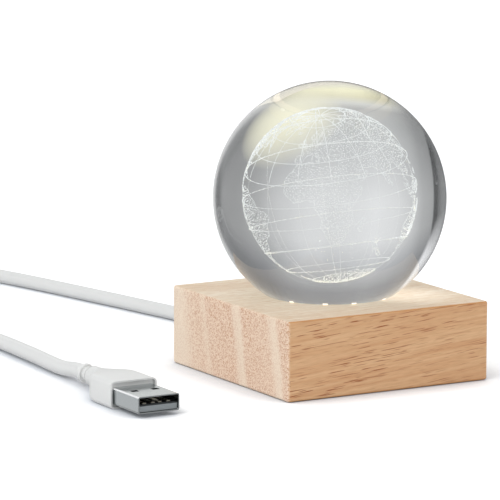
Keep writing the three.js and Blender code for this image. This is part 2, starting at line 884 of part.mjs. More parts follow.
place(lamp, "cord_lead", tubeAlong(leadLine(), cordDiameter, cordSides, leadSteps), whitePlastic());
place(lamp, "cord_coil", skinOver(ringsAlong(coil.points, cordDiameter, coilSides)), whitePlastic());
place(lamp, "cord_tail", tubeAlong(tailLine(), cordDiameter, cordSides, tailSteps), whitePlastic());
const strap = place(lamp, "coil_tie", coilStrap(), blackPlastic(), coil.middle.x, coil.middle.y, 0);
strap.rotation.z = coil.turn + strapTurn * 2 * Math.PI;

const plug = new THREE.Group();
plug.position.set(plugMiddleX, bootFrontY, plugHeight);
lamp.add(plug);
place(plug, "plug_boot", plugBoot(), whitePlastic());
place(plug, "plug_shell", plugShell(), steel());
place(plug, "plug_tongue", plugTongue(), greyPlastic());
const contactHeight = tongueThickness + shellWall + tongueGap - shellHeight / 2;
contactPlaceShares.forEach((share, index) => {
  const y = contactSetback - shellReach;
  const x = share * contactSpacing;
  place(plug, `plug_contact_${index + 1}`, plugContact(), brass(), x, y, contactHeight);
});

export default lamp;
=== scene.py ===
# %% [markdown]
# # A crystal ball lamp
# The lamp is a solid glass ball with a world map engraved inside it, on a block of pale wood with
# LEDs in it, and a white cable that ends in a plug. Its CAD model holds every size already. This
# lesson dresses that model: it keeps the CAD pieces whose shape is right, replaces the glass, the
# cable and the moulded pieces by finer ones, and gives each surface the finish of the real one.

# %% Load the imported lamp
import math

import bmesh
import bpy
import numpy as np
from mathutils import Euler, Matrix, Quaternion, Vector


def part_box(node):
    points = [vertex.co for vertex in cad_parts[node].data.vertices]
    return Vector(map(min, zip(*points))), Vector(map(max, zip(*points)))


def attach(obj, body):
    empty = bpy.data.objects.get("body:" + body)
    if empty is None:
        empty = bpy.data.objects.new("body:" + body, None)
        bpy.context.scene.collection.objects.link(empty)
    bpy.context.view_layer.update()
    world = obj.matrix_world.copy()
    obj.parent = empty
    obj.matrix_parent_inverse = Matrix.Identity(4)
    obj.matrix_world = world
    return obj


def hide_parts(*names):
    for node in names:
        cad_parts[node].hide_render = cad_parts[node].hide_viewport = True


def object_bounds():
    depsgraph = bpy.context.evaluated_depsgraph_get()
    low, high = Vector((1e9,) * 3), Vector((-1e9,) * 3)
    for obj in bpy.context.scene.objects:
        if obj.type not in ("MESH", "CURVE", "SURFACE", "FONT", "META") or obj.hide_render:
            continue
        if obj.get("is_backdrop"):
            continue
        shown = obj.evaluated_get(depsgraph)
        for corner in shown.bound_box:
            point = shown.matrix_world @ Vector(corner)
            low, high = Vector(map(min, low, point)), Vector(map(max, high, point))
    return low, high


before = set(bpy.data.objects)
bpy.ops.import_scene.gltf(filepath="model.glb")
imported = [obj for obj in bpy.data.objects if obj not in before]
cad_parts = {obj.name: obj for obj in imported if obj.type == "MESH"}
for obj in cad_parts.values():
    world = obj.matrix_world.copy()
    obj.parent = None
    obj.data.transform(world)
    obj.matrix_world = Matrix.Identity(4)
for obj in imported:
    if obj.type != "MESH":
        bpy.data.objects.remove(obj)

cad_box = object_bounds()
MM = 0.001
print("CAD box in mm:", [[round(v / MM, 1) for v in corner] for corner in cad_box])

# %% [markdown]
# ## Camera
# The photograph was taken with a long lens from a little above the table, so the block's edges
# hardly run together. A camera could be aimed by eye, but its place was worked out instead from the
# block's six outline edges and the ball's circle, and the numbers are written down here.

# %% Camera
FOCAL_LENGTH, SENSOR = 297.27, 36
FROM_LEFT, FROM_ABOVE, ROLL = 30.032, 9.812, 0.160
CAMERA_PLACE = (-0.56627, -0.93687, 0.22248)
bpy.ops.object.camera_add()
camera = bpy.context.object
camera.name = "photo_camera"
camera.data.sensor_width, camera.data.lens = SENSOR, FOCAL_LENGTH
turned = Matrix.Rotation(math.radians(-FROM_LEFT), 4, "Z")
tilted = Matrix.Rotation(math.radians(90 - FROM_ABOVE), 4, "X")
rolled = Matrix.Rotation(math.radians(ROLL), 4, "Z")
camera.matrix_world = Matrix.Translation(CAMERA_PLACE) @ turned @ tilted @ rolled
bpy.context.scene.camera = camera
print("Camera in m:", [round(v, 3) for v in camera.matrix_world.translation])

# %% [markdown]
# ## The cable's route
# A USB cable of 4 mm is limp enough to lie where it is dropped, but it comes out of the wood
# straight and reaches the table a few diameters on. It leaves the picture on the left and comes
# back in to the plug. The length in between is wound up, as in the box: it spirals in on the
# table, climbs, and spirals out on top. The route repeats the CAD model's points, in millimetres.

# %% Route of the cable
CORD = 4
LEAD = [
    (0, 30.4, 5.45), (0, 35.3, 5.45), (0.3, 47, 4.5), (0.9, 57.5, 2.9), (1.1, 67, 2.1),
    (0.6, 76, 2), (-0.5, 85, 2), (-2.6, 96, 2), (-4.8, 107.3, 2), (-7.1, 118.5, 2),
    (-9.4, 129.8, 2), (-11.8, 141.2, 2), (-14.4, 152.7, 2), (-17.3, 164, 2), (-20.4, 175.9, 2),
    (-23.9, 187.2, 2),
]
TAIL = [
    (-79.3, 158, 4.8), (-77.6, 146, 3), (-75, 134.5, 2.1), (-72, 123, 2), (-68.9, 111.5, 2),
    (-66.4, 100, 2.1), (-64.8, 89, 2.2), (-64.2, 78, 2.4), (-64.3, 67, 2.5), (-64.7, 56, 2.5),
    (-65.3, 44.5, 2.5), (-65.8, 36, 2.4), (-66.1, 28, 2.5), (-66.3, 20, 3.4), (-66.3, 14.3, 3.4),
]
COIL_DIAMETER = 47
COIL_PITCH = 4.7
COIL_LAYER = 4.7
COIL_TURNS = 4.45
STRAP_TURN = 0.71
STRAP_LIFT = 1.1
STRAP_BUMP = 6
CLIMB_TURNS = 0.5
STEPS_PER_TURN = 24
END_GAP = 0.3
reversal = COIL_TURNS / 2


def coil_radius(turn):
    away, half = abs(turn - reversal), CLIMB_TURNS / 2
    eased = away * away / (2 * half) + half / 2 if away < half else away
    return COIL_DIAMETER / 2 + COIL_PITCH * reversal / 2 - COIL_PITCH * (reversal - eased)


def coil_height(turn):
    share = min(max((turn - reversal) / CLIMB_TURNS + 0.5, 0), 1)
    climb = share * share * (3 - 2 * share)
    over_strap = max(0, math.cos((turn - STRAP_TURN) * 2 * math.pi)) ** STRAP_BUMP
    return COIL_LAYER * climb + STRAP_LIFT * over_strap


def coil_point(turn):
    angle = turn * 2 * math.pi
    radius = coil_radius(turn)
    return Vector((radius * math.cos(angle), radius * math.sin(angle), coil_height(turn)))


# %% [markdown]
# The coil starts where the lead ends and runs on in the same direction, so its line is turned and
# moved there. The plain steps of one loop make all its turns.

# %% Line of the coil
steps = round(COIL_TURNS * STEPS_PER_TURN)
coil = [coil_point(step / steps * COIL_TURNS) for step in range(steps + 1)]


def run_on(before, end, length):
    level = Vector((end.x - before.x, end.y - before.y, 0))
    return end + level.normalized() * length


coil = [run_on(coil[1], coil[0], CORD), *coil, run_on(coil[-2], coil[-1], CORD)]
before, end = Vector(LEAD[-2]), Vector(LEAD[-1])
arriving = math.atan2(end.y - before.y, end.x - before.x)
starting = math.atan2(coil[1].y - coil[0].y, coil[1].x - coil[0].x)
coil_turn = Matrix.Rotation(arriving - starting, 3, "Z")
onward = Vector((math.cos(arriving), math.sin(arriving), 0))
coil_middle = end + onward * END_GAP - coil_turn @ coil[0]
coil = [coil_turn @ point + coil_middle for point in coil]
after_coil = run_on(coil[-2], coil[-1], END_GAP + CORD)
route = [*map(Vector, LEAD[:-1]), *coil, after_coil, *map(Vector, TAIL)]
length = sum((b - a).length for a, b in zip(route, route[1:]))
print("Route:", len(route), "points,", round(length), "mm")

# %% [markdown]
# One open spline with smooth handles carries the whole cable, and its round bevel is the jacket.
# A mesh tube would need its own rings and normals, where a curve keeps the section true by itself.

# %% Cable
cable_data = bpy.data.curves.new("cable", "CURVE")
cable_data.dimensions = "3D"
cable_data.bevel_depth = CORD / 2 * MM
cable_data.bevel_resolution = 7
cable_data.resolution_u = 8
cable_data.use_fill_caps = True
spline = cable_data.splines.new("BEZIER")
spline.bezier_points.add(len(route) - 1)
for knot, point in zip(spline.bezier_points, route):
    knot.co = point * MM
    knot.handle_left_type = knot.handle_right_type = "AUTO"
cable = bpy.data.objects.new("cable", cable_data)
bpy.context.scene.collection.objects.link(cable)
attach(cable, "base")
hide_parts("cord_lead", "cord_coil", "cord_tail")

# %% [markdown]
# ## Table
# The table is a plain pale sheet. It is part of the set, not of the lamp, so it is staged. Its
# finish and the lamps come last, because they depend on what stands on it.

# %% Table
TABLE = 4


def deselect():
    bpy.ops.object.select_all(action="DESELECT")


deselect()
bpy.ops.mesh.primitive_plane_add(size=TABLE)
table = bpy.context.object
table.name = "table"
table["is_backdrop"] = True

# %% [markdown]
# ## One small tool for materials
# Each material below is a handful of nodes. One function adds a node with its options, settings
# and links, and one draws a link, from the node's first output unless another is named. A third
# turns a colour as it is seen on a screen to the linear colour that light needs.

# %% Tools for materials
def linear(code):
    parts = [(code >> shift & 255) / 255 for shift in (16, 8, 0)]
    parts = [p / 12.92 if p <= 0.04045 else ((p + 0.055) / 1.055) ** 2.4 for p in parts]
    return (*parts, 1)


def join(source, node, socket):
    if isinstance(source, bpy.types.Node):
        source = next(output for output in source.outputs if output.enabled)
    node.id_data.links.new(source, node.inputs[socket])


def add(tree, kind, settings=None, links=None, stops=None, **options):
    made = tree.nodes.new("ShaderNode" + kind)
    for name, value in options.items():
        setattr(made, name, value)
    for socket, value in (settings or {}).items():
        made.inputs[socket].default_value = value
    for socket, source in (links or {}).items():
        join(source, made, socket)
    if stops:
        row = made.color_ramp.elements
        row.remove(row[1])
        row[0].position, row[0].color = stops[0][0], (*stops[0][1], 1)
        for place, colour in stops[1:]:
            row.new(place).color = (*colour, 1)
    return made


def new_material(name, colour, roughness, metallic=0, ior=1.5):
    made = bpy.data.materials.new(name)
    made.use_nodes = True
    shader = made.node_tree.nodes["Principled BSDF"]
    shader.inputs["Base Color"].default_value = linear(colour)
    shader.inputs["Roughness"].default_value = roughness
    shader.inputs["Metallic"].default_value = metallic
    shader.inputs["IOR"].default_value = ior
    return made, made.node_tree, shader


def finish_node(names, made):
    for name in names:
        for material_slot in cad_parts[name].material_slots:
            material_slot.material = made


# %% [markdown]
# ## White cable jacket
# The jacket is soft PVC, drawn through a die: a satin white with a faint waviness along it that
# breaks the highlight. A broad sheen would make it look like cloth, so the roughness alone does it.

# %% Soft white PVC
jacket, tree, shader = new_material("soft_white_pvc", 0xE3E3E1, 0.42, ior=1.53)
spots = add(tree, "TexCoord").outputs
waves = add(tree, "TexNoise", {"Scale": 160, "Detail": 3}, {"Vector": spots["Object"]})
dents = add(tree, "Bump", {"Strength": 0.25, "Distance": 0.2 * MM}, {"Height": waves})
join(dents, shader, "Normal")
cable_data.materials.append(jacket)

# %% [markdown]
# ## Rubberwood
# The block is rubberwood, sanded and thinly oiled, with its grain along X. Its pores are fine
# tubes: cut across they are a fine speckle on the end grain, cut along they are thin red-brown
# dashes a few millimetres long. One solid noise, stretched along the grain, makes each pattern, so
# it runs on over every edge as in real wood. The sizes are in millimetres along and across the
# grain, which leans a little in this block. The pores are 0.2 mm wide in the wood and are drawn
# wider, so that they show.

# %% Rubberwood: patterns of the grain
wood, tree, shader = new_material("oiled_rubberwood", 0xD8B08A, 0.5)
spots = add(tree, "TexCoord").outputs
PATTERNS = {
    "pores": (5.3, 0.38, 2), "cut_pores": (8, 0.28, 1), "clusters": (34, 7, 1),
    "streaks": (60, 0.9, 4), "clouds": (62, 17, 3), "fibres": (3, 0.36, 1),
}
ASLANT, LEAN, TWIST = 0.2, math.radians(4.5), 0.02
grain = {}
for name, (along, across, detail) in PATTERNS.items():
    sizes = [size * MM for size in (along, across, across)]
    at = add(
        tree, "Mapping", {"Scale": sizes, "Rotation": (ASLANT, -LEAN, TWIST)},
        {"Vector": spots["Object"]}, vector_type="TEXTURE",
    )
    grain[name] = add(tree, "TexNoise", {"Scale": 1, "Detail": detail}, {"Vector": at})
print("Patterns in the wood:", len(grain))

# %% [markdown]
# Growth zones with few pores cross the block like the leaves of a book, a little aslant. Their
# places are shares of the 72 mm from one side of the block to the other, read off the end grain.

# %% Rubberwood: growth zones
NEAR, FAR, WAVE = -34.5, 37.5, 4
ZONES = [
    (0, 1), (0.1, 1), (0.125, 0.1), (0.155, 0.15), (0.185, 0.8), (0.36, 1), (0.385, 0.05),
    (0.42, 0.25), (0.45, 1), (0.62, 0.9), (0.645, 0.3), (0.68, 0.8), (0.76, 0.6), (0.82, 0.05),
    (1, 0),
]
aslant = add(tree, "Mapping", {"Rotation": (ASLANT, 0, 0)}, {"Vector": spots["Object"]})
leaves = add(tree, "SeparateXYZ", links={"Vector": aslant}).outputs
wavy = add(
    tree, "Math", {1: WAVE * MM}, {0: grain["clouds"], 2: leaves["Y"]}, operation="MULTIPLY_ADD"
)
through = add(tree, "MapRange", {"From Min": NEAR * MM, "From Max": FAR * MM}, {"Value": wavy})
stops = [(place, (pored,) * 3) for place, pored in ZONES]
grain["zones"] = add(tree, "ValToRGB", links={"Fac": through}, stops=stops)

# %% [markdown]
# Each pattern is then cut to the part that shows: only the darkest of a noise become pores. A line
# of the table names a cut and its pattern, the pattern's range, and what that range becomes. The
# surface's own direction tells end grain (X), long sides (Y) and top (Z) apart.

# %% Rubberwood: what shows where
facing = add(tree, "SeparateXYZ", links={"Vector": spots["Normal"]}).outputs
for axis in "XYZ":
    grain[axis] = add(tree, "Math", links={0: facing[axis]}, operation="ABSOLUTE")
CUTS = [
    ("dash", "cut_pores", 0.61, 0.68, 0, 1), ("crowd", "clusters", 0.34, 0.54, 0.35, 1),
    ("dot", "pores", 0.49, 0.58, 0, 1), ("pored", "zones", 0, 1, 0.12, 0.75),
    ("tint", "streaks", 0.36, 0.64, 0, 1), ("top_cloud", "clouds", 0.45, 0.7, 0, 0.4),
    ("side_cloud", "clouds", 0.4, 0.7, 0, 0.2), ("zone_tone", "zones", 0, 1, 0, 0.7),
    ("turning_side", "Y", 0.15, 0.6, 0, 1), ("turning_up", "Z", 0.15, 0.6, 0, 1),
    ("end_face", "X", 0.45, 0.75, 0, 1), ("fine", "fibres", 0.3, 0.7, 0, 0.2),
    ("sheen", "streaks", 0.3, 0.7, 0.42, 0.6),
]
for name, source, *limits in CUTS:
    written = dict(zip(("From Min", "From Max", "To Min", "To Max"), limits))
    grain[name] = add(tree, "MapRange", written, {"Value": grain[source]})
BOTH = {
    "dashes": ("dash", "crowd"), "end_dots": ("dot", "pored"),
    "orange_edge_line": ("turning_side", "turning_up"),
}
for name, (first, second) in BOTH.items():
    links = {0: grain[first], 1: grain[second]}
    grain[name] = add(tree, "Math", links=links, operation="MULTIPLY")

# %% [markdown]
# The cut decides the tone, partly the wood's own and partly painted light: the end grain is painted
# pale and slightly pink as the most lit face, the long faces warmer and darker as painted shade, and
# a thin orange line runs along the sharp upper edges, where the surface turns. Each line below mixes
# two tones by one pattern and gives the result a name.

# %% Rubberwood: colours
# The face tones are partly painted light: the end is painted pale as lit, the long sides darker as
# shaded.
TONES = [
    ("top", "tint", 0xFAE9D2, 0xEFD9BD), ("top", "top_cloud", "top", 0xDFBC99),
    ("top", "dashes", "top", 0xE2BD96), ("side", "tint", 0xDFB68A, 0xD3A276),
    ("side", "side_cloud", "side", 0xCB9768), ("side", "dashes", "side", 0x984E20),
    # The orange line lies where the surface turns between side and top, picked by its direction.
    ("long", "Y", "top", "side"), ("long", "orange_edge_line", "long", 0xC98F57),
    ("end", "zone_tone", 0xF8E6D0, 0xF2D6BE), ("end", "end_dots", "end", 0xC78C63),
    ("wood", "end_face", "long", "end"), ("wood", "fine", "wood", 0xA9764E),
]
for name, share, *tones in TONES:
    written = {6 + k: linear(tone) for k, tone in enumerate(tones) if isinstance(tone, int)}
    linked = {6 + k: grain[tone] for k, tone in enumerate(tones) if isinstance(tone, str)}
    grain[name] = add(tree, "Mix", written, {0: grain[share], **linked}, data_type="RGBA")
join(grain["wood"], shader, "Base Color")
join(grain["sheen"], shader, "Roughness")
hollows = add(
    tree, "Bump", {"Strength": 0.5, "Distance": 0.08 * MM}, {"Height": grain["pores"]}, invert=True
)
join(hollows, shader, "Normal")
print("Nodes in the wood:", len(tree.nodes))

# %% [markdown]
# Under and behind the lit ball the LEDs flood the wood with light. Path tracing finds little of it,
# so rays that come through the glass see the wood mixed with that pale glow.

# %% Rubberwood: glow through the glass
path = add(tree, "LightPath").outputs
flooded = add(tree, "Emission", {"Color": (0.84, 0.81, 0.68, 1), "Strength": 1.3})
share = add(tree, "Math", {1: 0.75}, {0: path["Is Transmission Ray"]}, operation="MULTIPLY")
seen = add(tree, "MixShader", links={0: share, 1: shader, 2: flooded})
join(seen, tree.nodes["Material Output"], "Surface")
finish_node(["wood_block"], wood)

# %% [markdown]
# ## Glass ball
# The ball is optical glass, ground and polished, with a flat cut at the bottom on which it stands.
# The CAD ball has flat facets that would show at once in a refraction. A fine sphere is added at
# the same place, cut flat with a bisect that also fills the cut, and its new rim is bevelled a
# little, as a grinder breaks a sharp edge.

# %% Glass ball
BALL, BALL_SIDES, FOOT_BEVEL = 62.7, 256, 0.35
low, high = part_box("crystal_ball")
ball_middle = Vector((0, 0, high.z - BALL / 2 * MM))
deselect()
bpy.ops.mesh.primitive_uv_sphere_add(
    segments=BALL_SIDES, ring_count=BALL_SIDES // 2, radius=BALL / 2 * MM, location=ball_middle,
)
ball = bpy.context.object
ball.name = "glass_ball"
bpy.ops.object.transform_apply(location=True)
bpy.ops.object.mode_set(mode="EDIT")
bpy.ops.mesh.select_all(action="SELECT")
bpy.ops.mesh.bisect(plane_co=(0, 0, low.z), plane_no=(0, 0, 1), use_fill=True, clear_inner=True)
bpy.ops.mesh.bevel(offset=FOOT_BEVEL * MM, segments=2, affect="EDGES")
bpy.ops.object.mode_set(mode="OBJECT")
bpy.ops.object.shade_smooth_by_angle(angle=math.radians(20))
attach(ball, "ball")
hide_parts("crystal_ball")
print("Ball from", round(low.z / MM, 2), "to", round(high.z / MM, 2), "mm")

# %% [markdown]
# Clear glass bends light and hides nothing. Light that only goes through on its way to something
# else, such as the lamps' light on the wood, passes straight, which keeps the render clean.

# %% Optical glass
glass, tree, shader = new_material("optical_glass", 0xFBFCFC, 0.0, ior=1.52)
shader.inputs["Transmission Weight"].default_value = 1
path = add(tree, "LightPath").outputs
clear = add(tree, "BsdfTransparent", {"Color": linear(0xF2F5F5)})
soft_ray = add(
    tree, "Math", links={0: path["Is Shadow Ray"], 1: path["Is Diffuse Ray"]},
    operation="MAXIMUM",
)
mixed = add(tree, "MixShader", links={0: soft_ray, 1: shader, 2: clear})
join(mixed, tree.nodes["Material Output"], "Surface")
ball.data.materials.append(glass)

# %% [markdown]
# Light of the LEDs runs inside the glass and leaves at the ground edge of the foot in a few short
# bright glints. The lowest ring of faces gets a glowing material at those places.

# %% Glints at the foot
GLINT_ANGLES = (25, 55.5, 81, 115, 145, 205, 235.5, 261, 295, 325)
GLINT_WIDTH, GLINT_FROM, GLINT_TO = 1.8, 0.02, 0.3
glints, tree, shader = new_material("led_glint", 0xFFFFFF, 0.2)
shader.inputs["Emission Color"].default_value = linear(0xFFFDF4)
shader.inputs["Emission Strength"].default_value = 0.8
ball.data.materials.append(glints)
glinting = 0
for face in ball.data.polygons:
    in_ring = GLINT_FROM * MM < face.center.z - low.z < GLINT_TO * MM
    angle = math.degrees(math.atan2(face.center.y, face.center.x)) % 360
    if in_ring and any(abs(angle - place) < GLINT_WIDTH for place in GLINT_ANGLES):
        face.material_index = 1
        glinting += 1
print("Faces with a glint:", glinting)

# %% [markdown]
# ## The plug's boot
# The boot is soft PVC moulded round the shell: a rounded bar, a taper, and a neck with two grooves
# that let it bend. The bar starts as a cube with four bevelled edges. Its end towards the neck is
# opened, and the other one gets the rim and the mouth round the shell.

# %% Boot: bar
PLUG = Vector((-68.2, -15.5, 3.4))
BOOT_WIDTH, BOOT_HEIGHT, BOOT_BODY, BOOT_TAPER, BOOT_RISE = 13.6, 7.3, 9.6, 14.6, 0.27
BOOT_CORNER, CORNER_STEPS = 1.3, 8
MOUTH_RIM, MOUTH_STEP, MOUTH_DEPTH = 0.2, 0.25, 0.8
SQUARE_ON = 0.9


def pick(made, wanted, kind="faces"):
    if made.mode != "EDIT":
        bpy.context.view_layer.objects.active = made
        bpy.ops.object.mode_set(mode="EDIT")
    bpy.ops.mesh.select_mode(type=kind[:-1].upper())
    bpy.ops.mesh.select_all(action="DESELECT")
    mesh = bmesh.from_edit_mesh(made.data)
    for part in getattr(mesh, kind):
        if wanted(part):
            part.select_set(True)
    mesh.select_flush_mode()
    bmesh.update_edit_mesh(made.data)


def runs_along_y(edge):
    return abs(edge.verts[0].co.y - edge.verts[1].co.y) > MM


def box(name, middle, size):
    bpy.ops.mesh.primitive_cube_add(size=1, location=middle * MM)
    made = bpy.context.object
    made.name, made.scale = name, size * MM
    bpy.ops.object.transform_apply(location=True, rotation=False, scale=True)
    return made


deselect()
boot_middle = PLUG + Vector((0, BOOT_BODY / 2, BOOT_RISE))
boot = box("moulded_boot", boot_middle, Vector((BOOT_WIDTH, BOOT_BODY, BOOT_HEIGHT)))
pick(boot, runs_along_y, "edges")
bpy.ops.mesh.bevel(offset=BOOT_CORNER * MM, segments=CORNER_STEPS, affect="EDGES")
pick(boot, lambda f: f.normal.y > SQUARE_ON)
bpy.ops.mesh.delete(type="ONLY_FACE")
pick(boot, lambda f: f.normal.y < -SQUARE_ON)
bpy.ops.mesh.inset(thickness=MOUTH_RIM * MM)
bpy.ops.mesh.inset(thickness=MOUTH_STEP * MM)
bpy.ops.mesh.extrude_region_move(TRANSFORM_OT_translate={"value": (0, MOUTH_DEPTH * MM, 0)})
bpy.ops.object.mode_set(mode="OBJECT")

# %% [markdown]
# The neck is a cylinder with as many sides as the bar's outline, so that a bridge can join their
# open ends in one smooth taper. Each groove is a row of cuts, drawn in by a cosine, which gives a
# soft ring where a cut with sharp edges would look machined.

# %% Boot: neck
NECK, NECK_LENGTH, NECK_SHIFT, NECK_GROOVE = 5.6, 6.6, 1.9, 0.3
GROOVES, GROOVE_STEPS, GROOVE_STEP = (2.3, 4.3), 4, 0.09
NECK_EDGE, NECK_RIM, NECK_DEPTH = 0.4, 0.15, 1.5
sides = 4 * (CORNER_STEPS + 1)
neck_middle = PLUG + Vector((NECK_SHIFT, BOOT_BODY + BOOT_TAPER + NECK_LENGTH / 2, 0))
bpy.ops.mesh.primitive_cylinder_add(
    vertices=sides, radius=NECK / 2 * MM, depth=NECK_LENGTH * MM, location=neck_middle * MM,
    rotation=(math.pi / 2, 0, 0),
)
neck = bpy.context.object
bpy.ops.object.transform_apply(location=True, rotation=True, scale=False)
pick(neck, lambda f: f.normal.y < -SQUARE_ON)
bpy.ops.mesh.delete(type="ONLY_FACE")
neck_start = neck_middle.y - NECK_LENGTH / 2
for groove in GROOVES:
    for step in range(-GROOVE_STEPS, GROOVE_STEPS + 1):
        bpy.ops.mesh.select_all(action="SELECT")
        place = (0, (neck_start + groove + step * GROOVE_STEP) * MM, 0)
        bpy.ops.mesh.bisect(plane_co=place, plane_no=(0, 1, 0))
        depth = NECK_GROOVE * (1 + math.cos(step / GROOVE_STEPS * math.pi)) / 2
        share = 1 - 2 * depth / NECK
        middle = Vector((neck_middle.x, place[1] / MM, neck_middle.z)) * MM
        bpy.ops.transform.resize(value=(share, 1, share), center_override=middle)
pick(neck, lambda f: f.normal.y > SQUARE_ON)
bpy.ops.mesh.bevel(offset=NECK_EDGE * MM, segments=3, affect="EDGES")
pick(neck, lambda f: f.normal.y > SQUARE_ON)
bpy.ops.mesh.inset(thickness=NECK_RIM * MM)
bpy.ops.mesh.extrude_region_move(TRANSFORM_OT_translate={"value": (0, -NECK_DEPTH * MM, 0)})
bpy.ops.object.mode_set(mode="OBJECT")

# %% [markdown]
# Bar and neck are two tubes with open ends that face each other. Bridging the two edge loops with
# many cuts gives the soft shoulder between them, as the moulding tool has it, and one closed skin.

# %% Boot: one skin
deselect()
neck.select_set(True)
boot.select_set(True)
bpy.context.view_layer.objects.active = boot
bpy.ops.object.join()
pick(boot, lambda e: e.is_boundary, "edges")
bpy.ops.mesh.bridge_edge_loops(number_cuts=14, interpolation="SURFACE", smoothness=1.0)
bpy.ops.mesh.select_all(action="SELECT")
bpy.ops.mesh.normals_make_consistent(inside=False)
bpy.ops.object.mode_set(mode="OBJECT")
bpy.ops.object.shade_smooth_by_angle(angle=math.radians(40))
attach(boot, "base")
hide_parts("plug_boot")
boot.data.materials.append(jacket)
print("Boot:", len(boot.data.polygons), "faces")

# %% [markdown]
# ## The strap round the coil
# A short hook-and-loop strap keeps the coil together. It starts as a box round the cable's turns
# with its corners rounded, loses its two open sides and gets its thickness by a solidify. It is
# built square to the coil, where its box is easy to measure, and turned afterwards.

# %% Strap: band
STRAP_THICKNESS, STRAP_CORNER = 0.6, 1.5
cad_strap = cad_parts["coil_tie"].data
in_coil = [coil_turn.transposed() @ (v.co / MM - coil_middle) for v in cad_strap.vertices]
low = Vector([min(corner[axis] for corner in in_coil) for axis in range(3)])
high = Vector([max(corner[axis] for corner in in_coil) for axis in range(3)])
print("Strap reaches from", round(low.x, 1), "to", round(high.x, 1), "mm from the coil's middle")
deselect()
strap = box("coil_strap", (low + high) / 2, high - low)
pick(strap, runs_along_y, "edges")
bpy.ops.mesh.bevel(offset=STRAP_CORNER * MM, segments=6, affect="EDGES")
pick(strap, lambda f: abs(f.normal.y) > SQUARE_ON)
bpy.ops.mesh.delete(type="ONLY_FACE")
bpy.ops.object.mode_set(mode="OBJECT")
thick = strap.modifiers.new("thickness", "SOLIDIFY")
thick.thickness, thick.offset = STRAP_THICKNESS * MM, -1
bpy.ops.object.modifier_apply(modifier=thick.name)

# %% [markdown]
# The strap's free end is a second small leaf that lies over the top. Both are joined, every sharp
# edge gets a narrow bevel that catches the light, and the strap is turned and moved to the coil.

# %% Strap: leaf and edges
LEAF_PAST_MIDDLE, LEAF_CORNER, STRAP_EDGE = 3.5, 1.2, 0.12
leaf_low = Vector(((low.x + high.x) / 2 - LEAF_PAST_MIDDLE, low.y, high.z))
leaf_high = Vector((high.x - STRAP_CORNER, high.y, high.z + STRAP_THICKNESS))
deselect()
leaf = box("strap_leaf", (leaf_low + leaf_high) / 2, leaf_high - leaf_low)
pick(leaf, lambda e: abs(e.verts[0].co.z - e.verts[1].co.z) > 0.3 * MM, "edges")
bpy.ops.mesh.bevel(offset=LEAF_CORNER * MM, segments=5, affect="EDGES")
bpy.ops.object.mode_set(mode="OBJECT")
strap.select_set(True)
bpy.context.view_layer.objects.active = strap
bpy.ops.object.join()
bpy.ops.object.mode_set(mode="EDIT")
bpy.ops.mesh.select_mode(type="EDGE")
bpy.ops.mesh.select_all(action="DESELECT")
bpy.ops.mesh.edges_select_sharp(sharpness=math.radians(60))
bpy.ops.mesh.bevel(offset=STRAP_EDGE * MM, segments=2, affect="EDGES")
bpy.ops.mesh.select_all(action="SELECT")
coil_angle = math.atan2(coil_turn[1][0], coil_turn[0][0])
bpy.ops.transform.rotate(value=-coil_angle, orient_axis="Z", center_override=(0, 0, 0))
bpy.ops.transform.translate(value=coil_middle * MM)
bpy.ops.object.mode_set(mode="OBJECT")
bpy.ops.object.shade_smooth_by_angle(angle=math.radians(40))
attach(strap, "base")
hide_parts("coil_tie")
print("Strap:", len(strap.data.polygons), "faces")

# %% [markdown]
# The strap is black nylon, woven in a plain weave of 0.45 mm. Two crossed waves give the threads
# that pass over and under each other, and a little sheen gives the fluff of the loops.

# %% Woven nylon
nylon, tree, shader = new_material("woven_nylon", 0x2A2B2E, 0.8)
shader.inputs["Sheen Weight"].default_value = 0.3
spots = add(tree, "TexCoord").outputs
threads_at = add(tree, "Mapping", {"Rotation": (0, 0, -coil_angle)}, {"Vector": spots["Object"]})
THREAD = 0.45 * MM
threads = [
    add(tree, "TexWave", {"Scale": 0.314 / THREAD, "Distortion": 0.6, "Detail Scale": 3},
        {"Vector": threads_at}, bands_direction=direction)
    for direction in ("X", "Y")
]
weave = add(
    tree, "Math", links={0: threads[0].outputs["Fac"], 1: threads[1].outputs["Fac"]},
    operation="MULTIPLY",
)
woven = add(tree, "Mix", {6: linear(0x17181A), 7: linear(0x3A3B3F)}, {0: weave}, data_type="RGBA")
join(woven, shader, "Base Color")
relief = add(tree, "Bump", {"Strength": 0.6, "Distance": 0.1 * MM}, {"Height": weave})
join(relief, shader, "Normal")
strap.data.materials.append(nylon)

# %% [markdown]
# ## The world map inside the glass
# A pulsed laser was focused inside the ball and left one tiny white crack at each point, so the map
# is a cloud of points on a sphere with half the ball's radius. The glass enlarges it like a lens.
# An image on a sphere would be quicker, but a picture is flat where these cracks catch light from
# all sides, so each point is a real four-sided fleck. First come the coasts, as plain pairs of
# longitude and latitude, written down from a common world map.

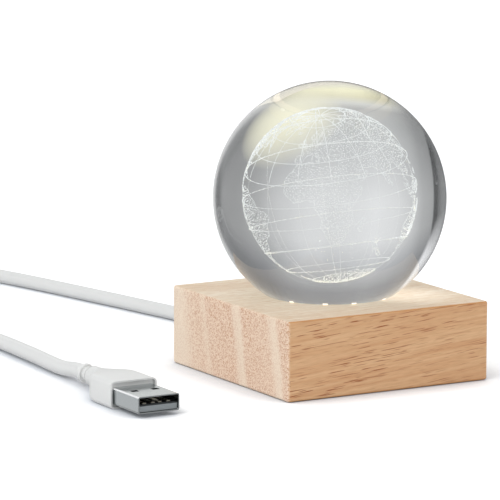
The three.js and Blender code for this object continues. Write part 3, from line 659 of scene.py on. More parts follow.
# %% Coasts of the world map
LAND = {
    "africa": """
    -6 36 -2 35 3 37 10 37.3 11 35 10 34 15 32.3 20 31 22 33 25 31.6 29 31 32 31.3 34 28 36 23.5
    37.3 19.5 39 16 43 12 44 10.5 51 12 51 10.3 48 5 44 1.5 41 -2 39 -5 40 -10 40.5 -15 36.5 -18.5
    35 -20 35.5 -24 32.8 -26 32 -29 28.5 -32.7 25.5 -34 20 -34.8 18.4 -34 18 -32 15.2 -27 14.5 -22.7
    11.8 -17.5 13.8 -11 12.2 -5.8 9 -1 9.6 3.5 8.5 4.6 6 4.3 4.3 6.3 1.5 6.2 -2 4.8 -4 5.2 -7.5 4.4
    -10 6.5 -13.3 9 -15 11 -16.8 12.5 -17.3 14.7 -16.4 17 -16.5 19.5 -17 21 -16 24 -14 26.5 -12.8 28
    -9.8 29.8 -9.6 31.5 -6.8 34
    """,
    "madagascar": """
    49.3 -12 50.4 -15.5 49.5 -18 47 -25 45 -25.5 43.3 -22 44.4 -20 44.3 -16.5 47 -15
    """,
    "eurasia": """
    -9 37 -9.4 38.8 -8.8 43.2 -2 43.4 -1.3 46 -4.5 48.2 -1.5 48.7 -1.8 49.7 0.2 49.5 2 51 4 52
    5 53.4 8 53.8 8.2 57 10.5 57.5 10.2 55.2 11 54 14 54 18.5 54.7 21 55.3 21.5 57.4 24 57.2
    23.5 59.2 28 59.6 29.5 60.2 25 60.2 22.5 60 21.4 61 21.5 63 25.3 65 22.5 65.8 21.3 64.5 17.5 62
    17.2 60.6 18.8 60 16.5 57.5 16 56.2 14.3 55.5 12.8 55.6 12.5 56.5 11.2 59 10.5 59.3 8 58.1
    5.5 58.9 5 61.5 8 63.7 12 66 15 68.4 19.5 70 25.7 71.1 31 70.3 33 69.4 41 67.7 40 66.4 34.5 66.6
    34.8 64.4 37.5 64 40 64.7 40.5 66.2 44 66.2 44.2 68.3 48 67.7 54 68.3 60.5 69.5 66.5 69 68 68.5
    67 71 69 73 72.5 72.5 73 69 74.5 68.5 75 72 80.5 73.6 87 75.1 98 76.3 104.3 77.7 113 75.8
    113.5 73.6 123 73 129 71.5 131 71 139.5 72.3 150 71.5 159 70.8 161 69.5 170 69.6 180 69 190 66.2
    184 64.8 177 62.5 170.5 60 164 59.8 162 56 160 53.2 156.7 51 155.8 56.5 160 60.7 163 62.3
    156 61.6 153 59.3 142 59.2 135.5 54.7 140 54.2 141 52.2 140.3 48.5 135.5 44 132 43.2 130 42
    127.5 39.5 129.4 37 129.3 35.3 126.5 34.4 126.7 37 125 38 124.5 40 121.5 39 121.5 40.8 118 39
    119 37.3 122.5 37.2 119.3 35 121.8 31.8 121.5 28.5 119 25.5 116 23 111 21.4 108.5 21.7 106 19.5
    107 17 109.2 13 109 11.5 106.5 10 105 8.6 105 10.3 102.7 12 100.6 13.4 99.5 11 99.7 9.3 101 7
    103.4 4.5 104.2 1.4 101 2.8 100.3 6 98.3 8.2 98.6 12 97.6 16.3 94.5 16 94 19 92 21.5 90.5 22.7
    87 21.5 86.5 20 82.3 16.7 80.2 15.3 80.2 13 79.8 10.3 77.6 8.1 76 10.5 74.7 14 73 18 72.7 21
    70.5 20.9 69 22.3 70 22.8 67.3 24 66.5 25.3 61.5 25.1 57.3 25.7 56.5 27 54 26.6 51.5 27.9 50 30
    48 30 48.5 28 50.2 26.6 51.5 25 54 24.1 56.3 26.2 56.5 24.5 59.8 22.5 57.7 19 55 17 52 15.6
    45 12.8 43.4 12.7 42.7 16.3 39.2 21 38 24 35 28 34.9 29.5 34.2 31.2 35 32.8 36 36.7 32.5 36.1
    30.6 36.8 27.5 36.9 26.3 38.5 26.2 40 24 40.8 22.7 40.2 24 37.7 22.5 36.5 21.3 37.5 20 39.7
    19.4 41.8 15.5 43.7 13.7 45.3 12.4 45.3 12.4 44.2 14 42.5 18.4 40.2 16.9 40.5 17 39 15.8 38
    15.7 40 12.5 41.5 10.3 43.5 8.8 44.4 7 43.5 4 43.5 3.1 42.4 0 40.2 -0.3 38.7 -2 36.8 -5.4 36.1
    -6.4 36.9
    """,
    "britain": """
    -5.6 50.1 1.3 51.2 1.7 52.7 0.2 53.2 -1.5 55 -2 57.6 -4 57.7 -3.2 58.6 -5 58.5 -5.8 57 -5 55
    -3 54 -4.5 53.2 -4.8 51.8 -3 51.4
    """,
    "ireland": "-6 52.2 -10 51.6 -9.8 53.5 -8.3 55.1 -6 55",
    "iceland": "-24 65.6 -22.5 64 -19 63.4 -14 64.5 -14.8 66.2 -18 66 -22 66.4",
    "greenland": """
    -45 60 -42.5 62.5 -40 65 -32 68 -23 70 -20 74 -19 77 -12 81.5 -32 83.5 -58 82 -67 80.2 -70 77.5
    -60 76 -55 71 -52 69 -53.5 66 -49 61.7
    """,
    "svalbard": "11 79.5 16 77 24 78.5 25 80.3 16 80.2",
    "novaya_zemlya": "52 71 57 70.7 60 75 68.5 76.8 60 76.3 54 73",
    "sicily": "12.5 38 15.5 38.2 15.1 36.7",
    "sardinia": "8.3 39 9.6 39.2 9.5 42.9 8.4 41",
    "honshu": """
    130 31.3 132 33.5 135.7 33.5 138.8 34.8 140.8 35.7 142 39.5 141.3 41.4 140 40 138.5 37.3 136 36
    132.5 35.4 130.8 34 129.7 33
    """,
    "hokkaido": "140 41.5 145.5 43.3 141.8 45.4 140.4 43.2",
    "sakhalin": "142 46 143.5 49 142.8 54.3 142 51.5",
    "taiwan": "120.8 22 121.9 25 120.2 23.5",
    "sri_lanka": "79.8 8 80.2 9.8 81.8 7.4 80.5 6",
    "luzon": "120.3 14 119.9 16 120.5 18.4 122 18.4 122 15 124 13",
    "mindanao": "122 7 125.5 5.7 126.5 7.5 125.4 9.8 123.5 8.6",
    "borneo": "109 1.6 111 -3 114.5 -4 116.3 -3.8 117.8 1 119 5.1 116.8 7 113.2 3.4 111 2",
    "sumatra": "95.3 5.6 98 4.2 103.5 -0.5 106 -3 105.8 -5.8 102.3 -4 99 0",
    "java": "105.3 -6.8 108.5 -6.7 114.4 -7.7 114.4 -8.7 108 -7.8",
    "sulawesi": "119 -3 119.5 -5.5 120.5 -3 122 -5.3 122.8 -4 121 -1 125 1.5 120 0.8",
    "new_guinea": """
    131 -0.8 134.5 -0.9 138 -1.7 145 -4.3 147.5 -6.5 150.5 -10.5 147 -9.4 143 -8.6 138 -8.2 135 -4.3
    132.3 -2.7
    """,
    "australia": """
    113.7 -22.5 114.2 -26.3 115.7 -31.7 115 -34.2 118 -35 123.6 -33.9 129 -31.7 131.2 -31.5
    135.5 -34.9 137.8 -33 138.5 -35.6 140.5 -38 144 -38.7 147 -38.4 150 -37.3 152.8 -32 153.5 -28.2
    151 -24 146.3 -19 145.3 -15 142.6 -10.8 141.6 -14 140.8 -17.5 138 -16.5 135.5 -15 136.8 -12.2
    132.5 -11.3 130 -13 129 -15 125.5 -14.2 122.2 -18 119 -20
    """,
    "tasmania": "144.7 -40.8 148.3 -41 147 -43.6",
    "new_zealand_north": """
    172.8 -34.5 175.5 -36.7 178.5 -37.7 176.8 -40 175 -41.5 173.8 -39.2 174.8 -37.5
    """,
    "new_zealand_south": "172.7 -40.6 174.2 -41.7 172.7 -43.7 170.7 -46 167 -46.2 170 -43.3",
    "antarctica": """
    -180 -78 -165 -78.5 -150 -77 -135 -74.5 -115 -74 -100 -73 -85 -73.5 -75 -72.5 -67 -68 -60 -63.5
    -57 -63.3 -62 -66 -62 -72 -60 -75 -45 -78 -35 -78 -25 -75 -10 -71.5 0 -70.3 15 -70 30 -69.5
    45 -67.8 55 -66 70 -69 80 -67.5 95 -66.5 110 -66 125 -66.5 140 -66.8 155 -69 165 -71 170 -73
    164 -77.5 180 -78 180 -90 -180 -90
    """,
    "north_america": """
    -168 65.6 -161.5 66.5 -166 68.3 -156.5 71.3 -141 69.6 -128 70.5 -115 68 -108 68 -95 68.5 -94 72
    -85 69.8 -82 68 -87 64.5 -94 61 -94.5 58.8 -88 56.5 -82.3 55.2 -80 51.3 -79 54.7 -77 56
    -78.4 58.8 -77.5 62.4 -70 61 -69.5 58.9 -65 60 -61.5 56.5 -56 52.5 -60 50.2 -66.5 50.1 -70 47.2
    -64.5 49 -65 47 -61 45.3 -65.7 43.5 -70 43.7 -70.5 41.8 -74 40.5 -75.8 37 -76 35 -81.2 31.5
    -80.1 26.8 -81 25.2 -82.7 28 -84 30 -89.5 30.2 -94.5 29.5 -97.3 27.5 -97.6 22 -94.5 18.2
    -91 18.8 -90.3 21.2 -87 21.5 -88 17.5 -88.5 15.8 -83.3 15 -83.5 11 -81 8.8 -79.5 9.5 -77.4 8.6
    -77.6 7.3 -80 7.4 -83 8.4 -85.8 10.5 -87.7 13 -92.2 14.5 -95 16 -100 17 -105.5 20 -105.7 22.5
    -109.4 26.3 -112.8 30 -114.8 31.6 -112 27 -109.5 23 -112.2 25.5 -115 28.5 -117.2 32.6
    -120.6 34.6 -122.5 37.5 -124.3 40.3 -124 46 -123 48.8 -128 51.5 -133.5 56.5 -139.5 59.7
    -148 60.3 -152 59 -157 57 -163 54.9 -158 58.5 -162 59.5 -165.5 62 -161 64
    """,
    "baffin": """
    -61.5 66.7 -66 62 -72.5 63.5 -73.5 66 -77 69.7 -89 70.5 -88 73.6 -80 73.6 -72 71 -67 69
    """,
    "victoria": "-117 69 -105 69.2 -105 72.8 -115 73.3 -118 71.5",
    "banks": "-125 72 -121 71.5 -117 73.5 -123 74.4",
    "ellesmere": "-89 76.5 -78 76.5 -63 82.5 -75 83 -90 81 -88 78.5",
    "devon": "-95 76.5 -80 75.6 -81 74.6 -92 74.8",
    "newfoundland": "-59.3 47.7 -53 46.7 -55.5 51.4",
    "cuba": "-85 21.9 -82 23.2 -74.2 20.2 -77.7 19.9",
    "hispaniola": "-74.4 18.4 -72.8 19.9 -68.4 18.6 -71 17.8",
    "south_america": """
    -77.4 8.6 -75.5 10.7 -71.7 12.3 -71.5 10.8 -68 11.5 -62 10.7 -60.5 8.3 -57 6 -51.5 4.3 -50 1
    -48 -0.8 -44 -2.6 -40 -2.9 -35.3 -5.3 -34.8 -8 -37.1 -11.5 -39 -13.5 -39.3 -18 -41 -22
    -44.5 -23.1 -48.5 -26 -50 -29.5 -53.5 -33.8 -58 -34.5 -56.8 -36.5 -62 -39 -65 -41 -63.7 -42.6
    -67.5 -46.2 -65.8 -47.6 -69 -51 -68.4 -53 -65.5 -54.8 -70 -55.2 -74.5 -51.5 -75.4 -47 -73 -42
    -73.6 -37.3 -71.5 -31 -70.3 -23 -70.3 -18.3 -76.3 -13.7 -81.2 -6 -80 -3 -80.6 -1 -78.8 1.5
    -77.2 4 -77.6 7.3
    """,
}
LAKES = {
    "black_sea": """
    28 41.5 27.8 43 29 44.5 30.8 46.4 33.5 46 33.8 44.5 35.5 45.2 37.5 46.8 38.5 46.5 37.5 44.8
    41.5 42.3 41.2 41.3 36.3 41.3 33 42 31 41.2
    """,
    "caspian_sea": """
    47.5 45.5 50 46.8 53 46.5 53 45 51 44.5 52.7 41.5 54 39 53.8 37 50.5 37.2 49 38.3 49.5 40.3
    47.8 43
    """,
    "superior": "-92 46.7 -88 48.6 -84.8 46.6 -88 47",
    "michigan": "-87.5 42 -87.8 45 -85 46 -86.3 43",
    "huron": "-82.3 43.2 -83.5 45.5 -80.5 45.8 -81.5 44.5",
    "victoria_lake": "31.8 -2.5 31.8 0 34 0.2 33.8 -2.4",
}
coasts = {
    name: np.array(pairs.split(), float).reshape(-1, 2) for name, pairs in {**LAND, **LAKES}.items()
}
print("Coasts:", len(coasts), "outlines,", sum(map(len, coasts.values())), "corners")

# %% [markdown]
# A point lies on land if a line from it to the north crosses the coast an odd number of times. The
# laser fills land evenly, so the points follow a spiral over the sphere, which spaces them alike
# everywhere, and a small seeded shake breaks up the rows.

# %% Points on land
ENGRAVED_RADIUS = 15.5
LAND_SPACING = 0.42
GOLDEN_ANGLE = 137.50776405


def inside(outline, lon, lat):
    crossings = np.zeros(len(lon), dtype=int)
    for (x1, y1), (x2, y2) in zip(outline, np.roll(outline, -1, axis=0)):
        if x1 != x2:
            between = (lon < x1) != (lon < x2)
            crossings += between & (lat < y1 + (lon - x1) * (y2 - y1) / (x2 - x1))
    return crossings % 2 == 1


def on_land(lon, lat):
    land = np.zeros(len(lon), dtype=bool)
    for name in LAND:
        land |= inside(coasts[name], lon, lat)
    land |= inside(coasts["eurasia"], lon + 360, lat)
    for name in LAKES:
        land &= ~inside(coasts[name], lon, lat)
    return land


count = round(4 * math.pi * ENGRAVED_RADIUS ** 2 / LAND_SPACING ** 2)
index = np.arange(count) + 0.5
lat = np.degrees(np.arcsin(1 - 2 * index / count))
lon = (index * GOLDEN_ANGLE) % 360 - 180
filled = on_land(lon, lat)
land_points = np.stack([lon[filled], lat[filled]], axis=1)
print("Points on land:", len(land_points))

# %% [markdown]
# Coasts and the net of meridians and parallels are rows of points, set closer than the filling, so
# they read as fine lines.

# %% Points on coasts and on the net
COAST_SPACING = 0.16
NET_SHIFT = -3.8
NET_STEP = 30, 18
NET_FINE, NET_SPARSE, NET_SOUTH = 0.08, 0.28, 0.15
NORTH_FROM = 20


def row_of_points(corners, spacing):
    rows = []
    for (x1, y1), (x2, y2) in zip(corners, corners[1:]):
        middle = math.cos(math.radians((y1 + y2) / 2))
        span = math.radians(math.hypot((x2 - x1) * middle, y2 - y1)) * ENGRAVED_RADIUS
        steps = max(1, math.ceil(span / spacing))
        share = np.arange(steps)[:, None] / steps
        rows.append(np.array([x1, y1]) * (1 - share) + np.array([x2, y2]) * share)
    return np.concatenate(rows)


lines = []
for name, outline in coasts.items():
    if name != "antarctica":
        lines.append(row_of_points([*outline, outline[0]], COAST_SPACING))
lines.append(row_of_points(coasts["antarctica"][:-2], COAST_SPACING))
for degrees in range(-180, 180, NET_STEP[0]):
    x = degrees + NET_SHIFT
    lines.append(row_of_points([(x, 89), (x, NORTH_FROM)], NET_FINE))
    lines.append(row_of_points([(x, NORTH_FROM), (x, -89)], NET_SPARSE))
for degrees in range(-72, 90, NET_STEP[1]):
    spacing = NET_FINE if degrees > 10 else NET_SOUTH
    lines.append(row_of_points([(x, degrees) for x in range(-180, 181, 5)], spacing))
line_points = np.concatenate(lines)
print("Points on lines:", len(line_points))

# %% [markdown]
# One fleck is a small tetrahedron, turned at random. Adding tens of thousands of cones by hand or
# by operator would take hours, so the corners of all flecks are worked out at once as arrays. The
# map leans and turns in the glass as the photograph shows it, with Africa in front.

# %% Flecks
MAP_TURN = Euler([math.radians(d) for d in (6.82, 2.1, -142.74)]).to_matrix()
MAP_LIFT = Vector((0, 0, 0.5 * MM))
FLECK, LINE_FLECK, LED_REFLECTION_SIZE = 0.13, 0.13 * 0.62, 0.13 * 1.8
LAND_SHAKE, LINE_SHAKE, DEPTH_SHAKE = 0.14, 0.015, 0.03
FLECK_CORNERS = np.array([(1, 1, 1), (1, -1, -1), (-1, 1, -1), (-1, -1, 1)]) / math.sqrt(3)
FLECK_FACES = np.array([(0, 1, 2), (0, 3, 1), (0, 2, 3), (1, 3, 2)])
# These five larger flecks are painted highlights: they stand for reflections of the LEDs in the ball,
# not for cracks.
LED_REFLECTION_SPOTS = [(2.5, -37.5), (8.8, -29), (38.5, -36.5), (17, -54), (41, -51)]
rng = np.random.default_rng(7)


def flecks(name, points, size, shake):
    lon, lat = np.radians(points).T
    middles = np.stack([np.cos(lat) * np.cos(lon), np.cos(lat) * np.sin(lon), np.sin(lat)], axis=1)
    middles = middles * ENGRAVED_RADIUS + rng.normal(0, shake, middles.shape)
    distances = ENGRAVED_RADIUS + rng.normal(0, DEPTH_SHAKE, (len(points), 1))
    middles *= distances / np.linalg.norm(middles, axis=1)[:, None]
    middles = middles @ np.array(MAP_TURN).T * MM + np.array(ball_middle + MAP_LIFT)
    turns = rng.normal(size=(len(points), 4))
    turns = np.array([Quaternion(turn).normalized().to_matrix() for turn in turns])
    sizes = size * rng.uniform(0.7, 1.25, len(points)) * MM
    around = np.einsum("nij,kj->nki", turns, FLECK_CORNERS) * sizes[:, None, None]
    corners = (middles[:, None, :] + around).reshape(-1, 3)
    faces = FLECK_FACES + 4 * np.arange(len(points))[:, None, None]
    mesh = bpy.data.meshes.new(name)
    mesh.from_pydata(corners.tolist(), [], faces.reshape(-1, 3).tolist())
    made = bpy.data.objects.new(name, mesh)
    bpy.context.scene.collection.objects.link(made)
    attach(made, "ball")
    print(name, len(mesh.polygons), "triangles")
    return made


north = land_points[land_points[:, 1] > NORTH_FROM]
south = land_points[land_points[:, 1] <= NORTH_FROM]
engraving = [
    flecks("engraved_land_north", north, FLECK, LAND_SHAKE),
    flecks("engraved_land_south", south, FLECK, LAND_SHAKE),
    flecks("engraved_lines", line_points, LINE_FLECK, LINE_SHAKE),
    # Painted highlights where the LEDs are reflected in the ball.
    flecks("painted_led_reflections", np.array(LED_REFLECTION_SPOTS), LED_REFLECTION_SIZE, 0),
]

# %% [markdown]
# Each crack is a rough white surface that scatters light in all directions. The cracks get their
# light through the polished ball, which path tracing finds slowly, so they also give off a little
# light of their own.

# %% Cracked glass
# The eye sees fine white dust that holds its brightness on the side away from the lamps.
cracks, tree, shader = new_material("laser_cracked_glass", 0xEEF0F0, 0.8)
shader.inputs["Emission Color"].default_value = linear(0xFFFEFA)
shader.inputs["Emission Strength"].default_value = 0.15
for piece in engraving:
    piece.data.materials.append(cracks)

# %% [markdown]
# ## Nickel-plated steel
# The plug's shell is thin steel, folded and plated with nickel: a slightly warm mirror that the
# rolling left with fine lines along it. The contacts are gold-plated, and the tongue that carries
# them is grey PBT, moulded smooth.

# %% Nickel-plated shell
# The eye sees a warm grey mirror, drawn out into lines along the sheet.
plated, tree, shader = new_material("nickel_plated_steel", 0xC6CBCD, 0.2, metallic=1)
spots = add(tree, "TexCoord").outputs
rolled_at = add(tree, "Mapping", {"Scale": (9000, 300, 9000)}, {"Vector": spots["Object"]})
rolling = add(tree, "TexNoise", {"Scale": 1.0, "Detail": 2}, {"Vector": rolled_at})
polish = add(tree, "MapRange", {"To Min": 0.14, "To Max": 0.26}, {"Value": rolling})
join(polish, shader, "Roughness")
finish_node(["plug_shell"], plated)

# %% [markdown]
# Two marks are painted on the folded steel: the walls of the windows punched in its top are painted
# near black, a painted shade, and its long folds are painted as a bright line, a painted highlight.
# Both are found by where a point lies and faces: a window's wall is inside the shell's outline, in
# its top sheet, and doesn't face up.

# %% Windows and folds of the shell
TOP_SHEET, SIDE_SHEET, FRONT_SHEET = 0.45 * MM, 0.8 * MM, 0.4 * MM
shell_low, shell_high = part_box("plug_shell")
lies = add(tree, "SeparateXYZ", links={"Vector": spots["Object"]}).outputs
faces = add(tree, "SeparateXYZ", links={"Vector": spots["Normal"]}).outputs
TESTS = {
    "window": [
        (lies, "Z", "GREATER_THAN", shell_high.z - TOP_SHEET), (faces, "Z", "LESS_THAN", 0.5),
        (lies, "X", "GREATER_THAN", shell_low.x + SIDE_SHEET),
        (lies, "X", "LESS_THAN", shell_high.x - SIDE_SHEET),
        (lies, "Y", "GREATER_THAN", shell_low.y + FRONT_SHEET),
    ],
    "fold": [(faces, "Z", "GREATER_THAN", 0.3), (faces, "X", "LESS_THAN", -0.3)],
}
found = {}
for name, tests in TESTS.items():
    for source, axis, operation, limit in tests:
        test = add(tree, "Math", {1: limit}, {0: source[axis]}, operation=operation)
        if name in found:
            test = add(tree, "Math", links={0: found[name], 1: test}, operation="MULTIPLY")
        found[name] = test
# Painted highlight: the folds turn white and less metallic.
painted_fold_highlight = add(
    tree, "Mix", {6: linear(0xC6CBCD), 7: linear(0xFFFFFF)}, {0: found["fold"]}, data_type="RGBA"
)
# Painted shade: the window walls turn near black.
shaded = add(tree, "Mix", {7: linear(0x060708)}, {0: found["window"], 6: painted_fold_highlight}, data_type="RGBA")
join(shaded, shader, "Base Color")
mirror_share = add(tree, "MapRange", {"To Min": 1, "To Max": 0.25}, {"Value": found["fold"]})
join(mirror_share, shader, "Metallic")

# %% [markdown]
# The four contacts lie deep in the mouth of the shell. They are gold-plated, and their gold is
# painted nearly white, a painted highlight for the glints that light makes on them.

# %% Gold-plated contacts
# The eye sees four pale warm bars on the dark tongue.
# Painted highlight: the gold colour is lifted to nearly white.
gold, tree, shader = new_material("gold_plated_contact", 0xF6F0DE, 0.35, metallic=1)
contacts = [f"plug_contact_{number}" for number in range(1, 5)]
finish_node(contacts, gold)

# %% [markdown]
# ## Moulded plastics, rubber and wires
# Moulded parts differ in colour and in how fine the mould was eroded. Each line of the table gives
# nodes, a material, its colour, its roughness, and the size and depth of its grain in millimetres.

# %% Moulded parts
MOULDED = [
    # PBT: a dull dark grey.
    (["plug_tongue"], "grey_pbt", 0x33373A, 0.45, 0.5, 0.02),
    # Eroded ABS: an even black with a fine matt grain.
    (["bottom_cover"], "eroded_black_abs", 0x26272A, 0.5, 0.35, 0.04),
    # Wire sleeves: smooth soft plastic with a dull shine, one black and one red.
    (["black_wire"], "black_wire_sleeve", 0x232427, 0.4, 0.8, 0.02),
    (["red_wire"], "red_wire_sleeve", 0xB3201C, 0.4, 0.8, 0.02),
    # Glazed ceramic: small dark bodies with a sharp highlight.
    (["resistor_1", "resistor_2"], "glazed_ceramic", 0x26272A, 0.25, 0.3, 0.01),
    # Nylon: milky white with a soft highlight.
    (["strain_tie"], "white_nylon", 0xE9E9E4, 0.4, 0.8, 0.02),
    # Foam rubber: the deepest black, with no shine and open pores.
    ([f"foot_pad_{number}" for number in range(1, 5)], "foam_rubber", 0x1B1B1C, 0.9, 0.25, 0.1),
    # Solder mask: a white lacquer, slightly uneven over the tracks.
    (["led_board"], "white_solder_mask", 0xE8EBE6, 0.35, 1.2, 0.02),
]
for nodes, name, colour, roughness, grain_mm, depth_mm in MOULDED:
    made, tree, shader = new_material(name, colour, roughness)
    spots = add(tree, "TexCoord").outputs["Object"]
    eroded = add(tree, "TexNoise", {"Scale": 1 / (grain_mm * MM), "Detail": 2}, {"Vector": spots})
    bumps = add(tree, "Bump", {"Strength": 0.4, "Distance": depth_mm * MM}, {"Height": eroded})
    join(bumps, shader, "Normal")
    finish_node(nodes, made)
finish_node(["inner_lead"], jacket)
print("Moulded materials:", len(MOULDED))

# %% [markdown]
# The plug's tongue gets two painted marks more: its front is painted pale as a lit face, and its top,
# which lies in the shade of the shell, is painted nearly black as painted shade.

# %% Tongue of the plug
tree = bpy.data.materials["grey_pbt"].node_tree
shader = tree.nodes["Principled BSDF"]
shader.inputs["Specular IOR Level"].default_value = 0.05
facing = add(tree, "SeparateXYZ", links={"Vector": add(tree, "TexCoord").outputs["Normal"]}).outputs
# Painted light: the front face turns pale grey and the top near black.
front = add(tree, "MapRange", {"From Min": -0.3, "From Max": -0.8}, {"Value": facing["Y"]})
painted_lit_front = add(tree, "Mix", {6: linear(0x33373A), 7: linear(0x8C9193)}, {0: front}, data_type="RGBA")
upper = add(tree, "MapRange", {"From Min": 0.3, "From Max": 0.8}, {"Value": facing["Z"]})
shaded = add(tree, "Mix", {7: linear(0x08090A)}, {0: upper, 6: painted_lit_front}, data_type="RGBA")
join(shaded, shader, "Base Color")

# %% [markdown]
# The screws are zinc-plated steel, duller than nickel, with a faint cloudiness in the plating.

# %% Zinc-plated screws
# The eye sees dull silver with paler and darker clouds.
zinc, tree, shader = new_material("zinc_plated_steel", 0xBFC2C4, 0.35, metallic=1)
spots = add(tree, "TexCoord").outputs
clouds = add(tree, "TexNoise", {"Scale": 900, "Detail": 3}, {"Vector": spots["Object"]})
dull = add(tree, "MapRange", {"To Min": 0.25, "To Max": 0.5}, {"Value": clouds})
join(dull, shader, "Roughness")
cover_screws = [f"cover_screw_{number}" for number in range(1, 5)]
board_screws = [f"board_screw_{number}" for number in range(1, 4)]
finish_node(cover_screws + board_screws, zinc)

# %% [markdown]
# ## LEDs and the window over them
# Each LED is a white frame round a yellow phosphor that glows when the lamp is on. Only its upper
# face glows, so the strength follows the surface's own direction. The window over them is
# polycarbonate with a matt upper side, which spreads the four dots of light.

# %% LEDs
# The eye sees warm white squares, too bright to look into.
phosphor, tree, shader = new_material("led_phosphor", 0xF3E7A4, 0.4)
spots = add(tree, "TexCoord").outputs
facing = add(tree, "SeparateXYZ", links={"Vector": spots["Normal"]}).outputs
upper = add(
    tree, "MapRange", {"From Min": 0.8, "From Max": 1, "To Max": 25},
    {"Value": facing["Z"]},
)
shader.inputs["Emission Color"].default_value = linear(0xFFEFC0)
join(upper, shader, "Emission Strength")
finish_node([f"led_{number}" for number in range(1, 5)], phosphor)

# %% [markdown]
# The window is turned from clear sheet, so it is glass to the eye apart from its matt upper side.

# %% Window over the LEDs
# The eye sees a pale disc of light under the ball's foot.
window, tree, shader = new_material("clear_polycarbonate", 0xF4F6F4, 0.3, ior=1.58)
shader.inputs["Transmission Weight"].default_value = 1
spots = add(tree, "TexCoord").outputs
matt = add(tree, "TexNoise", {"Scale": 4000, "Detail": 1}, {"Vector": spots["Object"]})
spread = add(tree, "MapRange", {"To Min": 0.02, "To Max": 0.06}, {"Value": matt})
join(spread, shader, "Roughness")
finish_node(["light_window"], window)

# %% [markdown]
# ## Light
# The shadows in the photograph are short and soft, and the end grain on the left is the brightest
# face, so one wide lamp stands high on the left. A smaller one opens the front, and the sky fills
# the rest. The lamps aren't seen in the glass, because the real ball shows none.

# %% Lamps
LAMP_MIDDLE = (0, 0, 0.03)


def lamp(name, kind, place, aim, power, **settings):
    bpy.ops.object.light_add(type=kind, location=place)
    made = bpy.context.object
    made.name = name
    made.rotation_euler = (Vector(aim) - Vector(place)).to_track_quat("-Z", "Y").to_euler()
    made.data.energy = power
    for setting, value in settings.items():
        setattr(made.data, setting, value)
    made.visible_glossy = made.visible_transmission = False


deselect()
lamp("wide_lamp_left", "AREA", (-0.75, -0.1, 0.85), LAMP_MIDDLE, 6.5, size=0.9)
lamp("small_lamp_front", "AREA", (0.5, -1.0, 0.6), LAMP_MIDDLE, 4, size=0.8)

# %% [markdown]
# The LEDs light the wood round the foot, and the ball gathers the lamp's light into a pale patch on
# its right. Path tracing is slow at finding such gathered light, so two very small lamps stand for
# it, which light the wood and are seen by nothing.

# %% Light gathered by the ball
BLOCK_TOP = 21.5
for name, place, aim, cone, power in (
    ("light_beside_the_foot", (6, -5, 50), (17, -13, BLOCK_TOP), 50, 0.024),
    ("light_of_the_leds", (0, 0, 30), (0, 0, BLOCK_TOP), 160, 0.008),
):
    lamp(
        name, "SPOT", Vector(place) * MM, Vector(aim) * MM, power, spot_size=math.radians(cone),
        spot_blend=1, shadow_soft_size=2 * MM, color=linear(0xFAFAFF)[:3],
    )

# %% [markdown]
# ## What the glass sees
# A glass ball turns the whole studio upside down and shrinks it into itself, so its greys are those
# of the room: a grey sweep behind, a dark flag on each side, a white wall high on the left and a
# pale warm glow from below. The world carries that room as two ramps, one across the view and one
# from below to above. A third ramp is what the outside of the glass mirrors.

# %% World: ramps
ACROSS = [
    (-1, 0.3), (-0.92, 0.2), (-0.88, 0.14), (-0.86, 0.1), (-0.84, 0.01), (-0.795, 0.01),
    (-0.775, 0.34), (-0.73, 0.38), (-0.65, 0.43), (-0.55, 0.6), (-0.4, 0.76), (-0.25, 0.84),
    (-0.1, 0.78), (0, 0.74), (0.2, 0.72), (0.3, 0.63), (0.47, 0.42), (0.65, 0.3), (0.78, 0.25),
    (0.86, 0.26), (0.89, 0.18), (0.92, 0.07), (0.97, 0.08), (1, 0.35),
]
UPWARD = [
    (-1, (1.25, 1.22, 1.0)), (-0.93, (1.45, 1.4, 0.98)), (-0.86, (1.15, 1.1, 0.8)),
    (-0.79, (1, 1, 0.95)), (-0.74, (0.7, 0.7, 0.69)), (-0.62, (0.68, 0.69, 0.69)),
    (-0.35, (0.78, 0.79, 0.8)), (-0.12, (0.97, 0.98, 0.99)), (0.1, (0.97, 0.98, 0.99)),
    (0.3, (0.72, 0.73, 0.75)), (0.45, (0.55, 0.56, 0.58)), (0.56, (0.4, 0.41, 0.43)),
    (0.7, (0.37, 0.38, 0.4)), (1, (0.9, 0.9, 0.9)),
]
MIRRORED = [
    (-1, 0.75), (-0.85, 0.8), (-0.76, 0.5), (-0.66, 0.16), (-0.48, 0.3), (-0.34, 0.9),
    (-0.14, 0.9), (-0.05, 0.2), (0.05, 0.16), (0.5, 0.08), (0.66, 0.12), (0.8, 0.35), (1, 0.6),
]
ROOM_TURN = 30.03
world = bpy.data.worlds.new("studio")
bpy.context.scene.world = world
world.use_nodes = True
tree = world.node_tree
way = add(tree, "TexCoord").outputs["Generated"]
turned_way = add(tree, "Mapping", {"Rotation": (0, 0, math.radians(ROOM_TURN))}, {"Vector": way})
parts = add(tree, "SeparateXYZ", links={"Vector": turned_way}).outputs
ramps = []
for axis, row in (("X", ACROSS), ("Z", UPWARD), ("X", MIRRORED)):
    at = add(tree, "MapRange", {"From Min": -1}, {"Value": parts[axis]})
    stops = [((x + 1) / 2, tone if axis == "Z" else (tone,) * 3) for x, tone in row]
    ramps.append(add(tree, "ValToRGB", links={"Fac": at}, stops=stops))
across, upward, mirrored = ramps

# %% [markdown]
# The two ramps are multiplied. The half of the room at the camera's back is an even pale grey, so
# that the ball is clear from behind too. The wall's edge slopes, and the glow is brightest in one
# direction and fades round it.

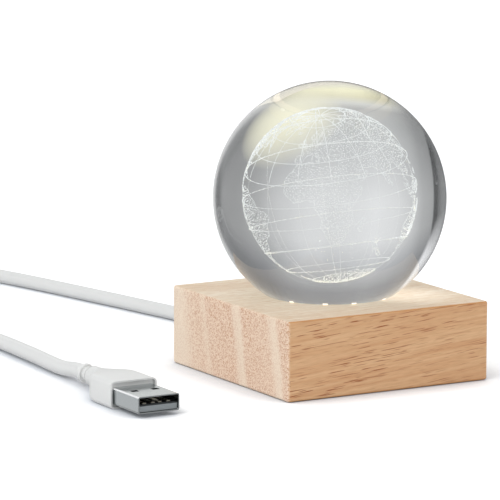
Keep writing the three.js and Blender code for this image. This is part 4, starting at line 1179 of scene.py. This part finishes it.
# %% World: the room
GLOW_WAY = (0.33, 0.66, -0.675)
behind = add(tree, "MapRange", {"From Min": 0, "From Max": -0.35}, {"Value": parts["Y"]})
all_round = add(tree, "Mix", {7: (0.74, 0.75, 0.76, 1)}, {0: behind, 6: across}, data_type="RGBA")
room = add(
    tree, "Mix", {0: 1.0}, {6: all_round, 7: upward}, data_type="RGBA", blend_type="MULTIPLY"
)
edge = add(tree, "Math", {1: 0.36, 2: -0.84}, {0: parts["Z"]}, operation="MULTIPLY_ADD")
past_edge = add(tree, "Math", links={0: edge, 1: parts["X"]}, operation="SUBTRACT")
beside = add(tree, "MapRange", {"From Min": 0.0, "From Max": 0.05}, {"Value": past_edge})
above = add(tree, "MapRange", {"From Min": 0.06, "From Max": 0.42}, {"Value": parts["Z"]})
wall = add(tree, "Math", links={0: beside, 1: above}, operation="MULTIPLY")
room = add(tree, "Mix", {7: (1.1, 1.1, 1.12, 1)}, {0: wall, 6: room}, data_type="RGBA")
nearness = add(tree, "VectorMath", {1: GLOW_WAY}, {0: turned_way}, operation="DOT_PRODUCT")
glow = add(tree, "MapRange", {"From Min": 0.912, "From Max": 1.0}, {"Value": nearness})
room = add(tree, "Mix", {7: linear(0xFCF9DF)}, {0: glow, 6: room}, data_type="RGBA")

# %% [markdown]
# The outside of the ball mirrors a softbox overhead. Then the world shows each ray its own picture:
# a plain sky to rays that light things, the mirrored room to reflections, the room to what goes
# through glass, and white to the camera. Rays through glass count as reflections too, so their
# mix comes after that one.

# %% World: which ray sees what
overhead = add(tree, "MapRange", {"From Min": 0.02, "From Max": 0.25}, {"Value": parts["Z"]})
sideways = add(tree, "Math", links={0: parts["X"]}, operation="ABSOLUTE")
in_middle = add(tree, "MapRange", {"From Min": 0.3, "From Max": 0.08}, {"Value": sideways})
softbox = add(tree, "Math", links={0: overhead, 1: in_middle}, operation="MULTIPLY")
mirrored = add(tree, "Mix", {7: (1, 1, 0.97, 1)}, {0: softbox, 6: mirrored}, data_type="RGBA")
sky = tree.nodes["Background"]
sky.inputs["Color"].default_value = linear(0xF4F7FA)
sky.inputs["Strength"].default_value = 0.6
white = add(tree, "RGB").outputs[0]
white.default_value = (1, 1, 1, 1)
path = add(tree, "LightPath").outputs
seen = sky
for ray, colour in (("Glossy", mirrored), ("Transmission", room), ("Camera", white)):
    picture = add(tree, "Background", links={"Color": colour})
    seen = add(tree, "MixShader", links={0: path[f"Is {ray} Ray"], 1: seen, 2: picture})
join(seen, tree.nodes["World Output"], "Surface")

# %% [markdown]
# The table is pale paper. A little extra light that only the camera sees lifts its lit part to
# white, as in the photograph. Close to the lamp and the plug an ambient occlusion node takes that
# light away again and darkens the paper a little, so the soft shadow at every foot stays. The glass
# and the metal look past the table to the room.

# %% Table top
# The eye sees white paper that darkens only where something stands on it.
paper, tree, shader = new_material("pale_table", 0xF6F6F6, 0.9)
path = add(tree, "LightPath").outputs
spots = add(tree, "TexCoord").outputs
open_to_sky = add(tree, "AmbientOcclusion", {"Distance": 16 * MM}, samples=8).outputs["AO"]
shade = add(
    tree, "ValToRGB", links={"Fac": open_to_sky},
    stops=[(0.0, (0.66, 0.68, 0.72)), (0.5, (0.74, 0.76, 0.8)), (0.9, (0.93, 0.93, 0.93))],
)
join(shade, shader, "Base Color")
reach = add(tree, "VectorMath", links={0: spots["Object"]}, operation="LENGTH")
lift = add(
    tree, "MapRange", {"From Min": 0.12, "From Max": 1.2, "To Min": 0.32, "To Max": 0.75},
    {"Value": reach},
)
kept = add(tree, "MapRange", {"From Min": 0.45, "From Max": 0.9}, {"Value": open_to_sky})
lift = add(tree, "Math", links={0: lift, 1: kept}, operation="MULTIPLY")
glow = add(tree, "Emission", {"Color": (1, 1, 1, 1)}, {"Strength": lift})
lit = add(tree, "AddShader", links={0: shader, 1: glow})
mixed = add(tree, "MixShader", links={0: path["Is Camera Ray"], 1: shader, 2: lit})
join(mixed, tree.nodes["Material Output"], "Surface")
table.data.materials.append(paper)
table.visible_transmission = table.visible_glossy = False
cable.visible_transmission = False

# %% [markdown]
# ## Colour and sizes
# The picture keeps its plain colours. Last, both boxes are printed, the imported part's and the
# finished lamp's, so that they can be compared.

# %% Colour and sizes
bpy.context.scene.view_settings.view_transform = "Standard"
sizes = {"cad": [list(v) for v in cad_box], "visual": [list(v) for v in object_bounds()]}
print("Boxes:", sizes)
